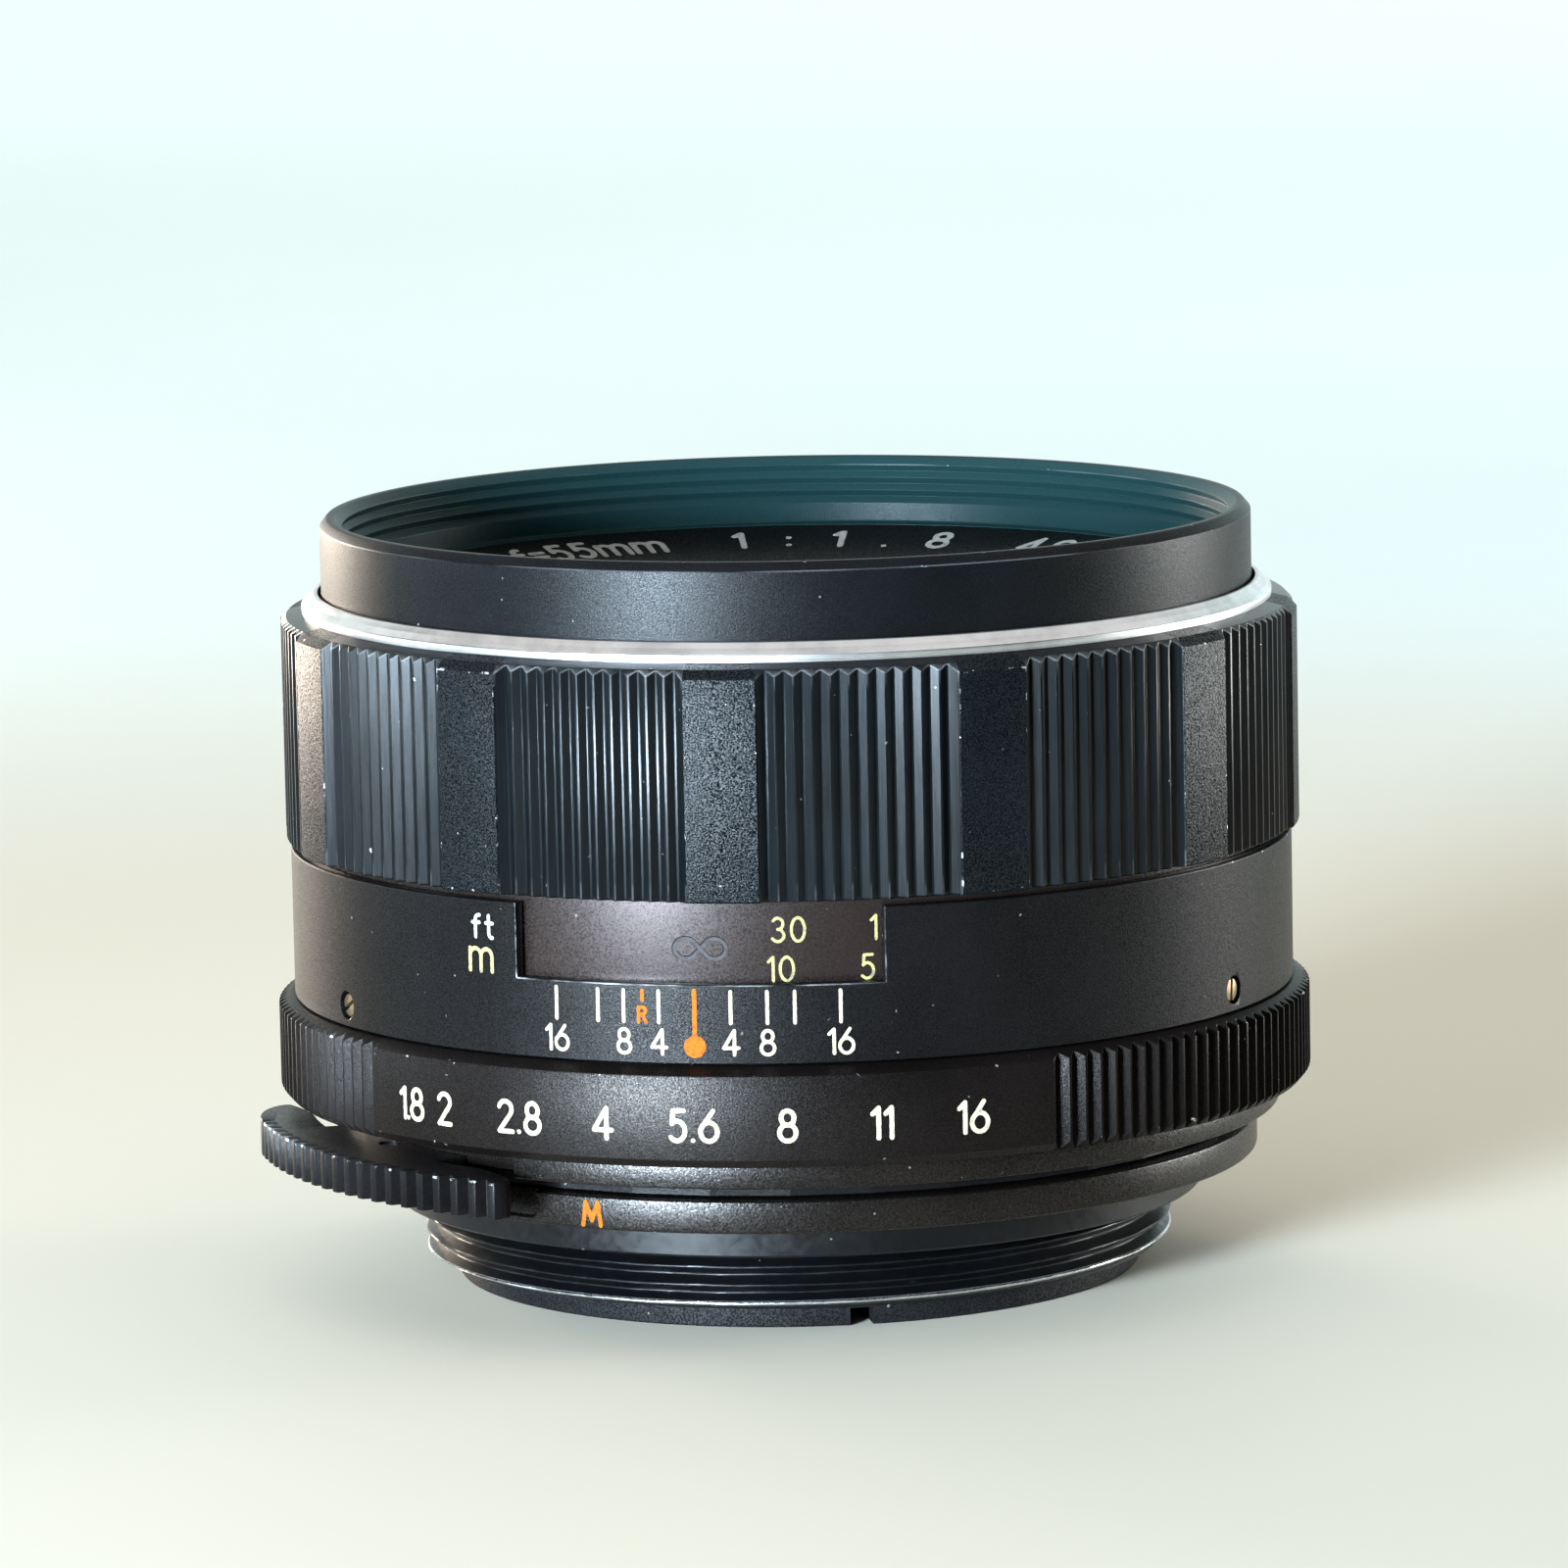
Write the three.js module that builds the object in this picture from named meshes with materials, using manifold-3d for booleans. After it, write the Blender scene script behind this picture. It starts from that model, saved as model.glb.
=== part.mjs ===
// A 55 mm f/1.8 prime lens with a 42 mm screw mount, as an assembly of its separate pieces.
// Millimetres. +Z is the optical axis, towards the subject, and z = 0 is the plane that the
// rear guard ring stands on. Angles are in degrees about +Z, from the index mark on the -Y
// side towards +X. The lens is focused at infinity and set to f/5.6, and the switch is at M.

import * as THREE from 'three';
import { mergeVertices } from 'three/addons/utils/BufferGeometryUtils.js';
import Module from 'manifold-3d';

const wasm = await Module();
wasm.setup();

// ---------------------------------------------------------------- driving dimensions

const SEGMENTS = 36;
const INNER_SEGMENTS = 24;
const GLASS_SEGMENTS = 20;
const GLASS_STEPS = 3;
const SCREW_SEGMENTS = 8;
const BALL_SEGMENTS = 10;
const BALL_RINGS = 6;
const ARC_STEP = 3;
const GRIP_ARC_STEP = 11;
const BLADE_ARC_STEP = 8;
const RUNNING_GAP = 0.25;
const OVERSHOOT = 1;

const GUARD = { outerR: 19.2, innerR: 17.8, topZ: 3.4 };
const GUARD_NOTCH = { width: 1.3, depth: 1, angles: [21, 201] };
const THREAD = { crestR: 21, rootR: 20.35, boreR: 19.35, throatR: 17.6, lowZ: 1.3 };
const THREAD_CRESTS = { firstZ: 1.7, pitch: 1, count: 3 };
const FLANGE = { r: 22.8, lowZ: 4.6, topZ: 6.5, reliefR: 21.15, reliefDepth: 0.3 };
const PLATE = {
  outerR: 17.3, innerR: 14.1, lowZ: 3.7, topZ: 4.4,
  screwRingR: 15.8, screwAngles: [40, 160, 280],
};
const PLATE_SCREW = { headR: 1, headHeight: 0.45, shankR: 0.55, holeR: 0.7, reach: 1.2, overlap: 0.25 };
const PIN = { ringR: 15.9, angle: 205, r: 0.7, holeR: 0.9, lowZ: 0.5, topZ: 8 };

const COVER = { outerR: 25.92, topZ: 8.3 };
const BASE = { outerR: 27.2, hubR: 17.4, neckR: 19.4, boreR: 14.6, lipZ: 9.2, topZ: 10.5 };
const POCKET = { floorR: 25.2, lowZ: 6.85, from: -79, to: -23.3, endR: 0.75 };
const SWITCH = {
  innerR: 19.7, outerR: 25, lowZ: 8.45, topZ: 9.05,
  tongueR: 27, tongueFrom: -56, tongueTo: -40,
};
const LEVER = {
  tipR: 30.4, valleyR: 29.75, tabR: 27.6, neckR: 25.3, lowZ: 7.55, topZ: 9.6,
  from: -77, to: -21,
};
const LEVER_NECK = { from: -62, to: -34.5, overlap: 0.3 };
const LEVER_TEETH = { from: -68, count: 20, tipFrom: 0.35, tipTo: 0.75 };
const LEVER_NOSE = { innerR: 28.6, steps: 6 };
const LEVER_FLARE = { farDepth: 0.9, farSpan: 13, nearDepth: 1.6, nearSpan: 9 };
const LEVER_SLOT = { radialGap: 0.15, endGap: 1 };
const LEVER_SCREW = { ringR: 26.1, angle: -48, r: 0.5, holeR: 0.65, topZ: 9.5 };

const BODY = {
  wallR: 24.4, flangeR: 18, flangeTopZ: 11.5,
  seatR: 26.4, shoulderR: 27.3, sleeveR: 26, topZ: 24.6,
};
const BODY_STEPS = { seatTopZ: 16.2, shoulderTopZ: 18.8 };
const CLICK_BALL = { r: 0.7, holeR: 0.9, ringR: 25.55, z: 13.2, angle: 120 };
const KEY = {
  innerR: 19.9, outerR: 21.7, width: 3, topZ: 22.5,
  slotWidth: 3.5, slotR: 22.1, angles: [90, 270],
};

const STOP_RING = { outerR: 29, innerR: 26.65, lowZ: 10.66, topZ: 16.1 };
const STOP_RING_EDGE = { chamfer: 0.42, bevelWidth: 0.8, bevelHeight: 0.45 };

const SCALE = { outerR: 28.06, innerR: 27.4, lowZ: 16.2, topZ: 24.5, windowHalfAngle: 21, windowZ: 20.45 };
const GRUB = {
  r: 0.62, innerR: 26.6, outerR: 27.95,
  holeR: 0.78, holeFloorR: 26.5, z: 17.35, angles: [-50, 70, 190],
};
const GRUB_SLOT = { width: 0.25, depth: 0.3, length: 2 };

const DRUM = { outerR: 27.2, innerR: 26.4, lowZ: 19 };
const FOCUS = { padR: 28.5, gripR: 28.28, boreR: 26.4, lipR: 25.2, lowZ: 24.9, lipTopZ: 25.9, topZ: 37.6 };
const FOCUS_EDGE = { chamfer: 0.15, bevelZ: 36.9, kneeR: 28.0, kneeZ: 37.38, coneR: 27.1 };
const PADS = { count: 12, first: 3.5, halfWidth: 4 };
const TRIM = { innerR: 26.2, topR: 26.4, outerR: 27.1, topZ: 38.66 };
const TRIM_BAND = { lowZ: 38.02, topZ: 38.34, topR: 26.7 };
const FOCUS_HELICOID = { innerR: 23.25, outerR: 24.1, flangeR: 26.2, lowZ: 13, topZ: 27.5 };
const FOCUS_SCREW = { r: 0.7, holeR: 0.85, ringR: 25.3, angles: [30, 150, 270] };

const FILTER = {
  outerR: 26, skirtR: 24.9, threadR: 24.7, seatR: 24.2, ledgeR: 22.9,
  lowZ: 28.2, webTopZ: 29.4,
};
const FILTER_RIM = { chamferZ: 42.33, faceOuterR: 25.6, faceInnerR: 25.2, topZ: 42.82, lipZ: 42.35 };
const FILTER_SEAT = { topZ: 38.9, lowZ: 37.9, undersideZ: 37.2, skirtTopZ: 36.2 };
const INNER_HELICOID = { innerR: 19.6, outerR: 22.95, lowZ: 11.8 };
const NAME_RING = { outerR: 24, rimR: 17.3, throatR: 15.9, topZ: 38.9, rimZ: 36.8, throatZ: 34.6 };
const NAME_RING_WALL = { throat: 0.4, rim: 0.1, seatGap: 0.1 };

const BARREL = { outerR: 19.2, flangeR: 22, flangeTopZ: 30.6, collarR: 17.9, topZ: 34.5, lowZ: 18.6 };
const BARREL_BORES = { frontR: 16.4, middleR: 13.8, backR: 12.6, throatR: 10.8 };
const BARREL_STEPS = { frontZ: 31.15, middleZ: 24.6, backZ: 19.93 };
const FRONT_CLAMP = { outerR: 16.3, innerR: 15, lowZ: 33.4, topZ: 34.4 };
const SECOND_CLAMP = { outerR: 13.6, innerR: 12.7, lowZ: 28.1, topZ: 30.9 };

const IRIS = { outerR: 19.2, wallR: 18.6, innerR: 12.2, lowZ: 13.8, floorZ: 14.7 };
const IRIS_DRIVE = { outerR: 18.3, innerR: 11.6, lowZ: 17.2, topZ: 18.3 };
const BLADES = { count: 6, pivotR: 17.2, firstZ: 14.95, thickness: 0.2, spacing: 0.35, closedBy: 18.4 };
const BLADE_SHAPE = { innerR: 11.4, outerR: 15.2, behind: 7, ahead: 105, earR: 0.95 };
const BLADE_PIN = { r: 0.55, holeR: 0.75, lowZ: 13.95 };

const REAR_CELL = {
  outerR: 13.7, lowZ: 0.8, flangeLowZ: 12.6,
  doubletR: 11.8, shoulderR: 10.9, rearR: 12.2,
};
const REAR_STEPS = { shoulderTopZ: 7, shoulderLowZ: 3.65 };
const DOUBLET_CLAMP = { outerR: 11.7, innerR: 9.9, lowZ: 14.12, topZ: 14.55 };
const REAR_CLAMP = { outerR: 12.1, innerR: 11.2, topZ: 2.35 };

// Each surface is [radius of curvature, height of its vertex, clear radius]. A positive radius
// has its centre behind the surface, towards the camera.
const ELEMENTS = {
  front_element: { r: 16.2, front: [36, 36.6, 16.2], back: [120, 32.3, 16.2] },
  second_element: { r: 13.6, front: [21.5, 32, 13.6], back: [38, 27.2, 13.6] },
  third_element: { r: 12.4, front: [45, 26.3, 12.4], back: [14.2, 24.7, 10.6] },
  doublet_front_element: { r: 11.6, front: [-15.5, 10.75, 9.6], back: [200, 9.35, 11.6] },
  doublet_rear_element: { r: 11.5, front: [200, 9.33, 11.5], back: [-24, 4.45, 11.5] },
  rear_element: { r: 12, front: [100, 4.2, 12], back: [-42, 0.9, 12] },
};

// ---------------------------------------------------------------- finishes

const FINISHES = {
  blackAnodised: { color: 0x15171b, roughness: 0.5, metalness: 0.6 },
  blackPaint: { color: 0x121214, roughness: 0.6, metalness: 0.2 },
  brownBlack: { color: 0x241d1b, roughness: 0.55, metalness: 0.2 },
  brightAluminium: { color: 0xd9d9dc, roughness: 0.25, metalness: 1 },
  bareAluminium: { color: 0x9a9ca0, roughness: 0.4, metalness: 1 },
  brass: { color: 0xb08d4a, roughness: 0.4, metalness: 1 },
  steel: { color: 0x8d8f93, roughness: 0.35, metalness: 1 },
  glass: { color: 0xbfd4cf, roughness: 0.05, metalness: 0, transparent: true, opacity: 0.4 },
};

const lens = new THREE.Group();

function add(name, geometry, finish) {
  const mesh = new THREE.Mesh(geometry, new THREE.MeshStandardMaterial(FINISHES[finish]));
  mesh.name = name;
  lens.add(mesh);
  return mesh;
}

// ---------------------------------------------------------------- solids and booleans

// Position-only geometry with its seams merged and the slivers at the axis taken out.
function weld(geometry) {
  const bare = geometry.clone();
  bare.deleteAttribute('normal');
  bare.deleteAttribute('uv');
  const merged = mergeVertices(bare, 1e-5);
  const source = merged.index.array;
  const kept = [];
  for (let i = 0; i < source.length; i += 3) {
    const [a, b, c] = [source[i], source[i + 1], source[i + 2]];
    if (a !== b && b !== c && c !== a) {
      kept.push(a, b, c);
    }
  }
  merged.setIndex(kept);
  return merged;
}

function toSolid(geometry) {
  const welded = weld(geometry);
  return new wasm.Manifold(new wasm.Mesh({
    numProp: 3,
    vertProperties: new Float32Array(welded.attributes.position.array),
    triVerts: new Uint32Array(welded.index.array),
  }));
}

function toGeometry(solid) {
  const mesh = solid.getMesh();
  const geometry = new THREE.BufferGeometry();
  geometry.setAttribute('position', new THREE.Float32BufferAttribute(mesh.vertProperties, 3));
  geometry.setIndex([...mesh.triVerts]);
  geometry.computeVertexNormals();
  return geometry;
}

function cut(geometry, ...cutters) {
  return toGeometry(cutters.reduce((solid, cutter) => solid.subtract(toSolid(cutter)), toSolid(geometry)));
}

function join(geometry, ...others) {
  return toGeometry(others.reduce((solid, other) => solid.add(toSolid(other)), toSolid(geometry)));
}

// ---------------------------------------------------------------- shapes about the lens axis

const radians = THREE.MathUtils.degToRad;

function around(r, angle) {
  return new THREE.Vector2(r * Math.sin(radians(angle)), -r * Math.cos(radians(angle)));
}

// A turned piece. The outline is a list of [radius, height] points, up the outside and down
// the inside; it is closed here unless it starts and ends on the axis.
function turned(outline, segments = SEGMENTS) {
  const points = outline.map(([r, z]) => new THREE.Vector2(r, z));
  if (outline[0][0] > 0) {
    points.push(points[0].clone());
  }
  return weld(new THREE.LatheGeometry(points, segments).rotateX(Math.PI / 2));
}

function ring(innerR, outerR, lowZ, topZ, segments = SEGMENTS) {
  return turned([[innerR, lowZ], [outerR, lowZ], [outerR, topZ], [innerR, topZ]], segments);
}

function prism(points, lowZ, topZ) {
  const shape = new THREE.Shape(points);
  const options = { depth: topZ - lowZ, bevelEnabled: false };
  return weld(new THREE.ExtrudeGeometry(shape, options).translate(0, 0, lowZ));
}

// A block between two radii and two angles.
function sector(innerR, outerR, from, to, lowZ, topZ, step = ARC_STEP) {
  const steps = Math.ceil((to - from) / step);
  const angles = Array.from({ length: steps + 1 }, (_, i) => from + (to - from) * i / steps);
  const outer = angles.map((angle) => around(outerR, angle));
  const inner = angles.map((angle) => around(innerR, angle)).reverse();
  return prism([...outer, ...inner], lowZ, topZ);
}

// A rod parallel to the lens axis.
function post(ringR, angle, r, lowZ, topZ, segments = SCREW_SEGMENTS) {
  const centre = around(ringR, angle);
  const rod = new THREE.CylinderGeometry(r, r, topZ - lowZ, segments).rotateX(Math.PI / 2);
  return weld(rod.translate(centre.x, centre.y, (lowZ + topZ) / 2));
}

// A rod that points out from the lens axis.
function spoke(innerR, outerR, angle, z, r, segments = SCREW_SEGMENTS) {
  const rod = new THREE.CylinderGeometry(r, r, outerR - innerR, segments);
  rod.translate(0, -(innerR + outerR) / 2, z);
  return weld(rod.rotateZ(radians(angle)));
}

// A block that points out from the lens axis.
function bar(innerR, outerR, angle, width, lowZ, topZ) {
  const block = new THREE.BoxGeometry(width, outerR - innerR, topZ - lowZ);
  block.translate(0, -(innerR + outerR) / 2, (lowZ + topZ) / 2);
  return weld(block.rotateZ(radians(angle)));
}

// ---------------------------------------------------------------- rear guard and screw mount

function rearGuardRing() {
  const blank = ring(GUARD.innerR, GUARD.outerR, 0, GUARD.topZ);
  const notches = GUARD_NOTCH.angles.map((angle) => bar(
    GUARD.innerR - OVERSHOOT, GUARD.outerR + OVERSHOOT, angle,
    GUARD_NOTCH.width, -OVERSHOOT, GUARD_NOTCH.depth,
  ));
  return cut(blank, ...notches);
}

function mountThreadRing() {
  const outline = [[THREAD.boreR, THREAD.lowZ], [THREAD.rootR, THREAD.lowZ]];
  for (let i = 0; i < THREAD_CRESTS.count; i += 1) {
    const crestZ = THREAD_CRESTS.firstZ + i * THREAD_CRESTS.pitch;
    outline.push([THREAD.crestR, crestZ], [THREAD.rootR, crestZ + THREAD_CRESTS.pitch / 2]);
  }
  const reliefTopZ = FLANGE.lowZ + FLANGE.reliefDepth;
  outline.push([THREAD.rootR, reliefTopZ], [FLANGE.reliefR, reliefTopZ], [FLANGE.reliefR, FLANGE.lowZ]);
  outline.push([FLANGE.r, FLANGE.lowZ], [FLANGE.r, FLANGE.topZ]);
  outline.push([THREAD.throatR, FLANGE.topZ], [THREAD.throatR, GUARD.topZ], [THREAD.boreR, GUARD.topZ]);
  return turned(outline);
}

const pinHole = post(PIN.ringR, PIN.angle, PIN.holeR, 0, BASE.topZ + OVERSHOOT);
const plateScrewTopZ = PLATE.topZ + PLATE_SCREW.reach;
const plateScrewHoles = PLATE.screwAngles.map((angle) => (
  post(PLATE.screwRingR, angle, PLATE_SCREW.holeR, 0, plateScrewTopZ + RUNNING_GAP)
));

function rearPlate() {
  const blank = ring(PLATE.innerR, PLATE.outerR, PLATE.lowZ, PLATE.topZ, INNER_SEGMENTS);
  return cut(blank, pinHole, ...plateScrewHoles);
}

function plateScrew(angle) {
  const headLowZ = PLATE.lowZ - PLATE_SCREW.headHeight;
  const head = post(PLATE.screwRingR, angle, PLATE_SCREW.headR, headLowZ, PLATE.lowZ);
  const shankLowZ = PLATE.lowZ - PLATE_SCREW.overlap;
  const shank = post(PLATE.screwRingR, angle, PLATE_SCREW.shankR, shankLowZ, plateScrewTopZ);
  return join(head, shank);
}

// ---------------------------------------------------------------- base and A/M switch

function pocket(lowZ, topZ) {
  return sector(POCKET.floorR, BASE.outerR + OVERSHOOT, POCKET.from, POCKET.to, lowZ, topZ);
}

function baseCoverRing() {
  const blank = ring(THREAD.throatR, COVER.outerR, FLANGE.topZ, COVER.topZ);
  const end = spoke(
    POCKET.floorR, COVER.outerR + OVERSHOOT, POCKET.to, POCKET.lowZ + POCKET.endR, POCKET.endR,
  );
  return cut(blank, pocket(POCKET.lowZ, COVER.topZ + OVERSHOOT), end);
}

function baseBody() {
  const blank = turned([
    [BASE.boreR, PLATE.topZ], [BASE.hubR, PLATE.topZ], [BASE.hubR, COVER.topZ], [BASE.neckR, COVER.topZ],
    [BASE.neckR, BASE.lipZ], [BASE.outerR, BASE.lipZ], [BASE.outerR, BASE.topZ], [BASE.boreR, BASE.topZ],
  ]);
  return cut(blank, pocket(BASE.lipZ - OVERSHOOT, BASE.topZ + OVERSHOOT), pinHole, ...plateScrewHoles);
}

function switchRing() {
  const tongue = sector(
    SWITCH.outerR - OVERSHOOT, SWITCH.tongueR, SWITCH.tongueFrom, SWITCH.tongueTo, SWITCH.lowZ, SWITCH.topZ,
  );
  return join(ring(SWITCH.innerR, SWITCH.outerR, SWITCH.lowZ, SWITCH.topZ), tongue);
}

// The far end of the lever is a quarter ellipse that starts where the teeth stop.
function leverNose() {
  return Array.from({ length: LEVER_NOSE.steps + 1 }, (_, i) => {
    const turn = Math.PI / 2 * i / LEVER_NOSE.steps;
    const angle = LEVER_TEETH.from - (LEVER_TEETH.from - LEVER.from) * Math.cos(turn);
    return around(LEVER_NOSE.innerR + (LEVER.tipR - LEVER_NOSE.innerR) * Math.sin(turn), angle);
  });
}

// The inner edge bends outwards at both ends of the lever.
function leverInnerR(angle) {
  const far = Math.max(0, 1 - (angle - LEVER.from) / LEVER_FLARE.farSpan);
  const near = Math.max(0, 1 - (LEVER.to - angle) / LEVER_FLARE.nearSpan);
  return LEVER.tabR + LEVER_FLARE.farDepth * far ** 2 + LEVER_FLARE.nearDepth * near ** 2;
}

function switchLever() {
  const pitch = (LEVER.to - LEVER_TEETH.from) / LEVER_TEETH.count;
  const tips = leverNose();
  for (let i = 0; i < LEVER_TEETH.count; i += 1) {
    const start = LEVER_TEETH.from + i * pitch;
    tips.push(around(LEVER.valleyR, start), around(LEVER.tipR, start + pitch * LEVER_TEETH.tipFrom));
    tips.push(around(LEVER.tipR, start + pitch * LEVER_TEETH.tipTo));
  }
  tips.push(around(LEVER.valleyR, LEVER.to));
  const steps = Math.ceil((LEVER.to - LEVER.from) / ARC_STEP);
  const inner = [];
  for (let i = steps; i >= 0; i -= 1) {
    const angle = LEVER.from + (LEVER.to - LEVER.from) * i / steps;
    inner.push(around(leverInnerR(angle), angle));
  }
  const tab = prism([...tips, ...inner], LEVER.lowZ, LEVER.topZ);
  const neck = sector(
    LEVER.neckR, LEVER.tabR + LEVER_NECK.overlap, LEVER_NECK.from, LEVER_NECK.to, LEVER.lowZ, LEVER.topZ,
  );
  const slot = sector(
    LEVER.neckR - OVERSHOOT, SWITCH.tongueR + LEVER_SLOT.radialGap,
    SWITCH.tongueFrom - LEVER_SLOT.endGap, SWITCH.tongueTo + LEVER_SLOT.endGap, SWITCH.lowZ, SWITCH.topZ,
  );
  const hole = post(
    LEVER_SCREW.ringR, LEVER_SCREW.angle, LEVER_SCREW.holeR, SWITCH.lowZ, LEVER.topZ + OVERSHOOT,
  );
  return cut(join(tab, neck), slot, hole);
}

// ---------------------------------------------------------------- main body

function mainBody() {
  const blank = turned([
    [BODY.flangeR, BASE.topZ], [BODY.seatR, BASE.topZ], [BODY.seatR, BODY_STEPS.seatTopZ],
    [BODY.shoulderR, BODY_STEPS.seatTopZ], [BODY.shoulderR, BODY_STEPS.shoulderTopZ],
    [BODY.sleeveR, BODY_STEPS.shoulderTopZ], [BODY.sleeveR, BODY.topZ], [BODY.wallR, BODY.topZ],
    [BODY.wallR, BODY.flangeTopZ], [BODY.flangeR, BODY.flangeTopZ],
  ]);
  const grubHoles = GRUB.angles.map((angle) => (
    spoke(GRUB.holeFloorR, BODY.shoulderR + OVERSHOOT, angle, GRUB.z, GRUB.holeR)
  ));
  const ballHole = spoke(
    CLICK_BALL.ringR - CLICK_BALL.holeR, BODY.seatR + OVERSHOOT,
    CLICK_BALL.angle, CLICK_BALL.z, CLICK_BALL.holeR,
  );
  return cut(blank, ...grubHoles, ballHole);
}

function clickBall() {
  const centre = around(CLICK_BALL.ringR, CLICK_BALL.angle);
  const ball = new THREE.SphereGeometry(CLICK_BALL.r, BALL_SEGMENTS, BALL_RINGS);
  return weld(ball.translate(centre.x, centre.y, CLICK_BALL.z));
}

function stopRing() {
  return turned([
    [STOP_RING.innerR, STOP_RING.lowZ], [STOP_RING.outerR - STOP_RING_EDGE.chamfer, STOP_RING.lowZ],
    [STOP_RING.outerR, STOP_RING.lowZ + STOP_RING_EDGE.chamfer],
    [STOP_RING.outerR, STOP_RING.topZ - STOP_RING_EDGE.bevelHeight],
    [STOP_RING.outerR - STOP_RING_EDGE.bevelWidth, STOP_RING.topZ], [STOP_RING.innerR, STOP_RING.topZ],
  ]);
}

function depthScaleBarrel() {
  const window = sector(
    SCALE.innerR - OVERSHOOT, SCALE.outerR + OVERSHOOT, -SCALE.windowHalfAngle, SCALE.windowHalfAngle,
    SCALE.windowZ, SCALE.topZ + OVERSHOOT,
  );
  const holes = GRUB.angles.map((angle) => spoke(
    SCALE.innerR - OVERSHOOT, SCALE.outerR + OVERSHOOT, angle, GRUB.z, GRUB.holeR,
  ));
  return cut(ring(SCALE.innerR, SCALE.outerR, SCALE.lowZ, SCALE.topZ), window, ...holes);
}

function grubScrew(angle) {
  const slot = new THREE.BoxGeometry(GRUB_SLOT.length, GRUB_SLOT.depth * 2, GRUB_SLOT.width);
  slot.translate(0, -GRUB.outerR, GRUB.z);
  return cut(spoke(GRUB.innerR, GRUB.outerR, angle, GRUB.z, GRUB.r), weld(slot.rotateZ(radians(angle))));
}

// ---------------------------------------------------------------- focusing group

function focusRing() {
  const blank = turned([
    [FOCUS.lipR, FOCUS.lowZ], [FOCUS.padR - FOCUS_EDGE.chamfer, FOCUS.lowZ],
    [FOCUS.padR, FOCUS.lowZ + FOCUS_EDGE.chamfer], [FOCUS.padR, FOCUS_EDGE.bevelZ],
    [FOCUS_EDGE.kneeR, FOCUS_EDGE.kneeZ], [FOCUS_EDGE.coneR, FOCUS.topZ], [FOCUS.boreR, FOCUS.topZ],
    [FOCUS.boreR, FOCUS.lipTopZ], [FOCUS.lipR, FOCUS.lipTopZ],
  ]);
  const pitch = 360 / PADS.count;
  const grips = [];
  for (let i = 0; i < PADS.count; i += 1) {
    const pad = PADS.first + i * pitch;
    grips.push(sector(
      FOCUS.gripR, FOCUS.padR + OVERSHOOT, pad + PADS.halfWidth, pad + pitch - PADS.halfWidth,
      FOCUS.lowZ - OVERSHOOT, FOCUS.topZ + OVERSHOOT, GRIP_ARC_STEP,
    ));
  }
  return cut(blank, ...grips);
}

function trimRing() {
  return turned([
    [TRIM.innerR, FOCUS.topZ], [TRIM.outerR, FOCUS.topZ], [TRIM.outerR, TRIM_BAND.lowZ],
    [TRIM_BAND.topR, TRIM_BAND.topZ], [TRIM.topR, TRIM.topZ], [TRIM.innerR, TRIM.topZ],
  ]);
}

function focusHelicoid() {
  const blank = turned([
    [FOCUS_HELICOID.innerR, FOCUS_HELICOID.lowZ], [FOCUS_HELICOID.outerR, FOCUS_HELICOID.lowZ],
    [FOCUS_HELICOID.outerR, FOCUS.lipTopZ], [FOCUS_HELICOID.flangeR, FOCUS.lipTopZ],
    [FOCUS_HELICOID.flangeR, FOCUS_HELICOID.topZ], [FOCUS_HELICOID.innerR, FOCUS_HELICOID.topZ],
  ]);
  const holes = FOCUS_SCREW.angles.map((angle) => post(
    FOCUS_SCREW.ringR, angle, FOCUS_SCREW.holeR, FOCUS.lowZ, FOCUS_HELICOID.topZ + OVERSHOOT,
  ));
  return cut(blank, ...holes);
}

// ---------------------------------------------------------------- moving optical unit

function filterRing() {
  return turned([
    [INNER_HELICOID.innerR, FILTER.lowZ], [FILTER.outerR, FILTER.lowZ],
    [FILTER.outerR, FILTER_RIM.chamferZ], [FILTER_RIM.faceOuterR, FILTER_RIM.topZ],
    [FILTER_RIM.faceInnerR, FILTER_RIM.topZ], [FILTER.threadR, FILTER_RIM.lipZ],
    [FILTER.threadR, FILTER_SEAT.topZ], [FILTER.seatR, FILTER_SEAT.topZ],
    [FILTER.seatR, FILTER_SEAT.lowZ], [FILTER.ledgeR, FILTER_SEAT.lowZ],
    [FILTER.ledgeR, FILTER_SEAT.undersideZ], [FILTER.skirtR, FILTER_SEAT.skirtTopZ],
    [FILTER.skirtR, FILTER.webTopZ], [INNER_HELICOID.innerR, FILTER.webTopZ],
  ]);
}

function nameRing() {
  const slope = (NAME_RING.topZ - NAME_RING.rimZ) / (NAME_RING.outerR - NAME_RING.rimR);
  const undersideR = NAME_RING.rimR - NAME_RING_WALL.rim;
  const undersideZ = FILTER_SEAT.lowZ - slope * (FILTER.ledgeR - undersideR);
  return turned([
    [NAME_RING.outerR, FILTER_SEAT.lowZ], [NAME_RING.outerR, NAME_RING.topZ],
    [NAME_RING.rimR, NAME_RING.rimZ], [NAME_RING.throatR, NAME_RING.throatZ],
    [NAME_RING.throatR + NAME_RING_WALL.throat, NAME_RING.throatZ], [undersideR, undersideZ],
    [FILTER.ledgeR - NAME_RING_WALL.seatGap, FILTER_SEAT.lowZ],
  ]);
}

function innerHelicoid() {
  const blank = ring(INNER_HELICOID.innerR, INNER_HELICOID.outerR, INNER_HELICOID.lowZ, FILTER.lowZ);
  const slots = KEY.angles.map((angle) => bar(
    INNER_HELICOID.innerR - OVERSHOOT, KEY.slotR, angle, KEY.slotWidth,
    INNER_HELICOID.lowZ - OVERSHOOT, FILTER.lowZ + OVERSHOOT,
  ));
  return cut(blank, ...slots);
}

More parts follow.
